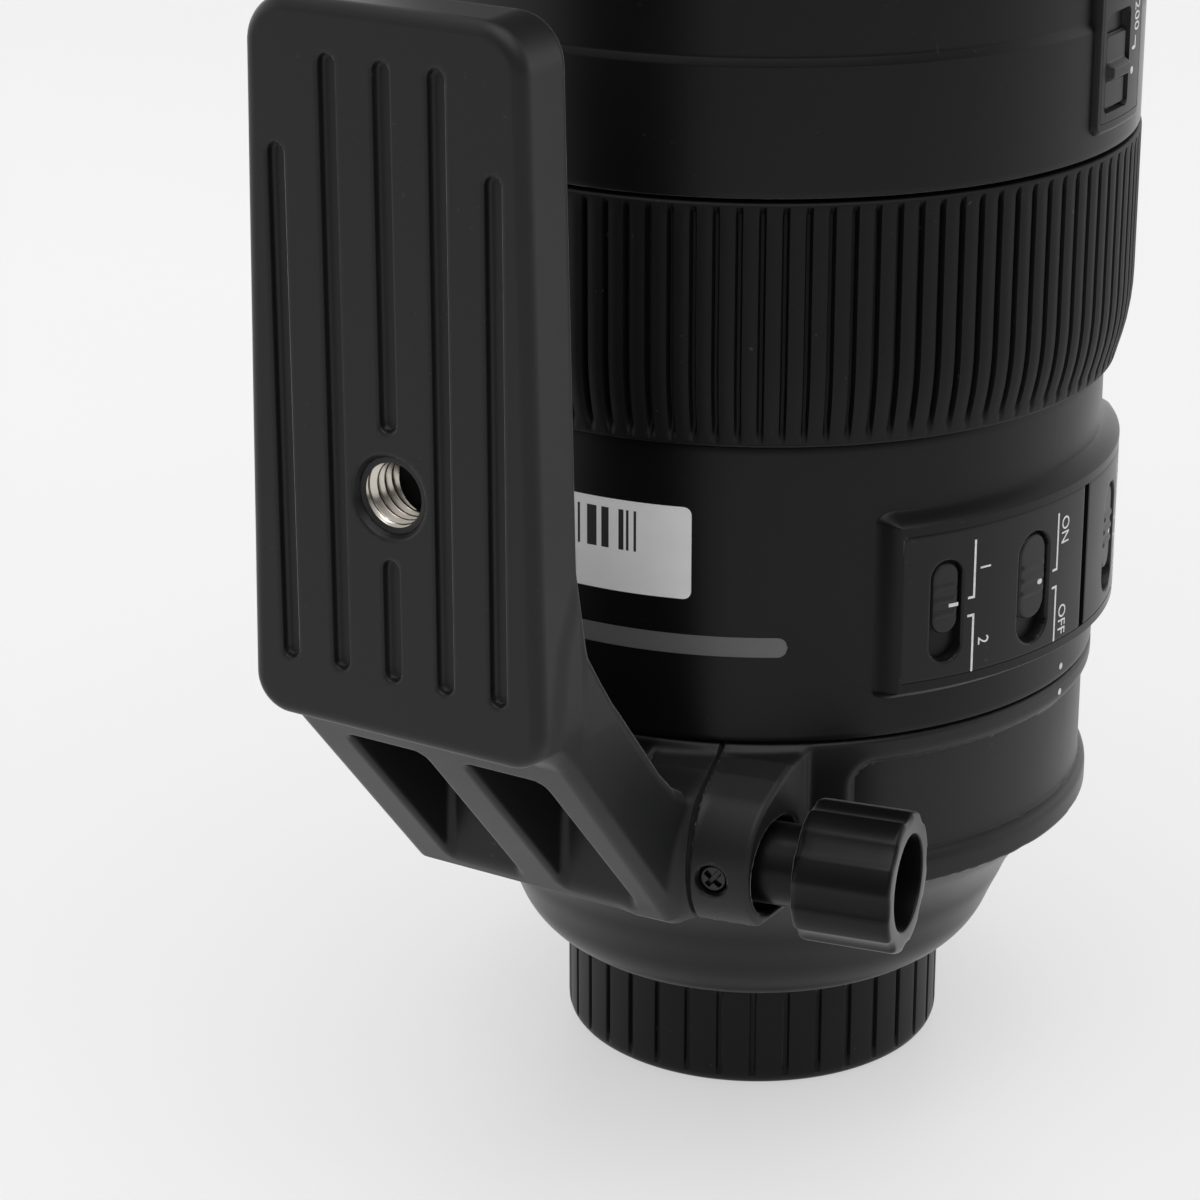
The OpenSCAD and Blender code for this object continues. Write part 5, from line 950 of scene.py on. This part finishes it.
mount_metal = worn_metal("mount_metal", 0.62, 0.26)
steel = worn_metal("steel", 0.5, 0.3)
bare_alloy = worn_metal("bare_alloy", 0.55, 0.4, grain_mm=0.3)
contact_gold = worn_metal("contact_gold", 0.75, 0.25, tint=(1.0, 0.78, 0.36))
inner_black = grained("inner_black", 0.016, 0.62, 0.3, 0.012)
board_green, board_shader, board_place = finish("board_green", Roughness=0.42)
board_track = board_place.noise(2.2, 1.0).ramp(0.5, 0.52)
into(board_track.blend((0.012, 0.065, 0.04, 1.0), (0.02, 0.11, 0.06, 1.0)), board_shader, "Base Color")
finishes = {"cap_plastic": cap_plastic, "mount_metal": mount_metal, "steel": steel,
            "dark_steel": dark_steel,
            "contact_gold": contact_gold, "housing_paint": housing_paint, "collar_paint": collar_paint,
            "bush_nickel": bush_nickel, "knob_black": knob_black, "panel_plastic": panel_plastic,
            "slider_plastic": slider_plastic, "inner_black": inner_black, "ring_black": ring_black,
            "grip_rubber": grip_rubber, "bare_alloy": bare_alloy, "board_green": board_green,
            "lens_glass": lens_glass}
for part in frame["record"]["subparts"]:
    kept = frame["nodes"][part["node"]].data
    kept.materials.clear()
    kept.materials.append(finishes[part["material_slot"]])

# Floor, light and camera
# A pale seamless floor in soft studio light, seen from a little above and to the right of the foot. One
# soft box stands above; the sky is bright near the horizon, but dim behind the camera.

floor_white, floor_shader, floor_place = finish("floor_white", Roughness=0.45)
floor_tone = floor_place.noise(400.0, 2.0).ramp(0.3, 0.7).blend(grey(0.87), grey(0.9))
into(floor_tone, floor_shader, "Base Color")
CAMERA_SIDE = (0.53, -0.85, 0.0)
# The floor glows through an emission mix. To camera rays it shows as the even white backdrop. In the lens's
# reflections, the floor behind and beside the lens (away from the camera) glows too: a painted reflection
# that pales the lens's edges. Diffuse light still meets the plain shaded floor, so the shadow stays.
floor_near = floor_place.toward(CAMERA_SIDE)
reflected_floor_glow = floor_place.add("ShaderNodeLightPath",
                              out="Is Glossy Ray") * (1.0 - floor_near.ramp(0.04, 0.22))
seen = floor_place.add("ShaderNodeLightPath") + reflected_floor_glow
floor_glow = floor_place.add("ShaderNodeEmission", {}, {"Color": floor_tone, "Strength": 1.03})
shown = floor_place.add("ShaderNodeMixShader", {}, {0: seen * 0.58, 1: Tone(floor_place.tree,
                                                                            floor_shader.outputs[0]),
                                                    2: floor_glow})
floor_place.tree.links.new(shown.socket, floor_place.tree.nodes["Material Output"].inputs["Surface"])
floor_mesh = bpy.data.meshes.new("floor")
floor_mesh.from_pydata([(-4, -4, 0), (4, -4, 0), (4, 4, 0), (-4, 4, 0)], [], [(0, 1, 2, 3)])
floor_mesh.materials.append(floor_white)
floor = bpy.data.objects.new("floor", floor_mesh)
bpy.context.scene.collection.objects.link(floor)
floor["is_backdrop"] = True


def lamp(name, place, target, size, power):
    """A square soft box that looks at a target."""
    light = bpy.data.lights.new(name, "AREA")
    light.size, light.energy = size, power
    made = bpy.data.objects.new(name, light)
    made.location = place
    made.rotation_euler = (Vector(target) - Vector(place)).to_track_quat("-Z", "Y").to_euler()
    bpy.context.scene.collection.objects.link(made)


lamp("light_front", (0.25, -0.4, 1.6), (0, 0, 0.1), 1.6, 14.0)
world = bpy.data.worlds.new("studio")
world.use_nodes = True
sky = Tone(world.node_tree, world.node_tree.nodes.new("ShaderNodeTexCoord").outputs["Generated"])
sky_side = sky.toward(CAMERA_SIDE)
sky_top = sky.add("ShaderNodeSeparateXYZ", {}, {0: sky}, out=2)
sky_low = 1.0 - sky_top.ramp(0.15, 0.55)
world.node_tree.nodes["Background"].inputs["Color"].default_value = (1.0, 1.0, 1.0, 1.0)
into(0.62 + sky_low * (1.1 - sky_side.ramp(-0.1, 0.5) * 1.62), world.node_tree.nodes["Background"],
     "Strength")
bpy.context.scene.world = world
bpy.context.scene.view_settings.view_transform = "Standard"

camera = bpy.data.objects.new("camera", bpy.data.cameras.new("camera"))
camera.data.lens, camera.data.sensor_width = 112.16, 36.0
right, upward = (0.84762, 0.53061, -0.00096), (-0.18851, 0.30282, 0.93422)
forward, stand = (-0.49599, 0.79168, -0.35670), (0.253848, -0.448947, 0.262461)
camera.matrix_world = Matrix([[right[i], upward[i], -forward[i], stand[i]] for i in range(3)]
                             + [[0, 0, 0, 1]])
bpy.context.scene.collection.objects.link(camera)
bpy.context.scene.camera = camera

low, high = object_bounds()
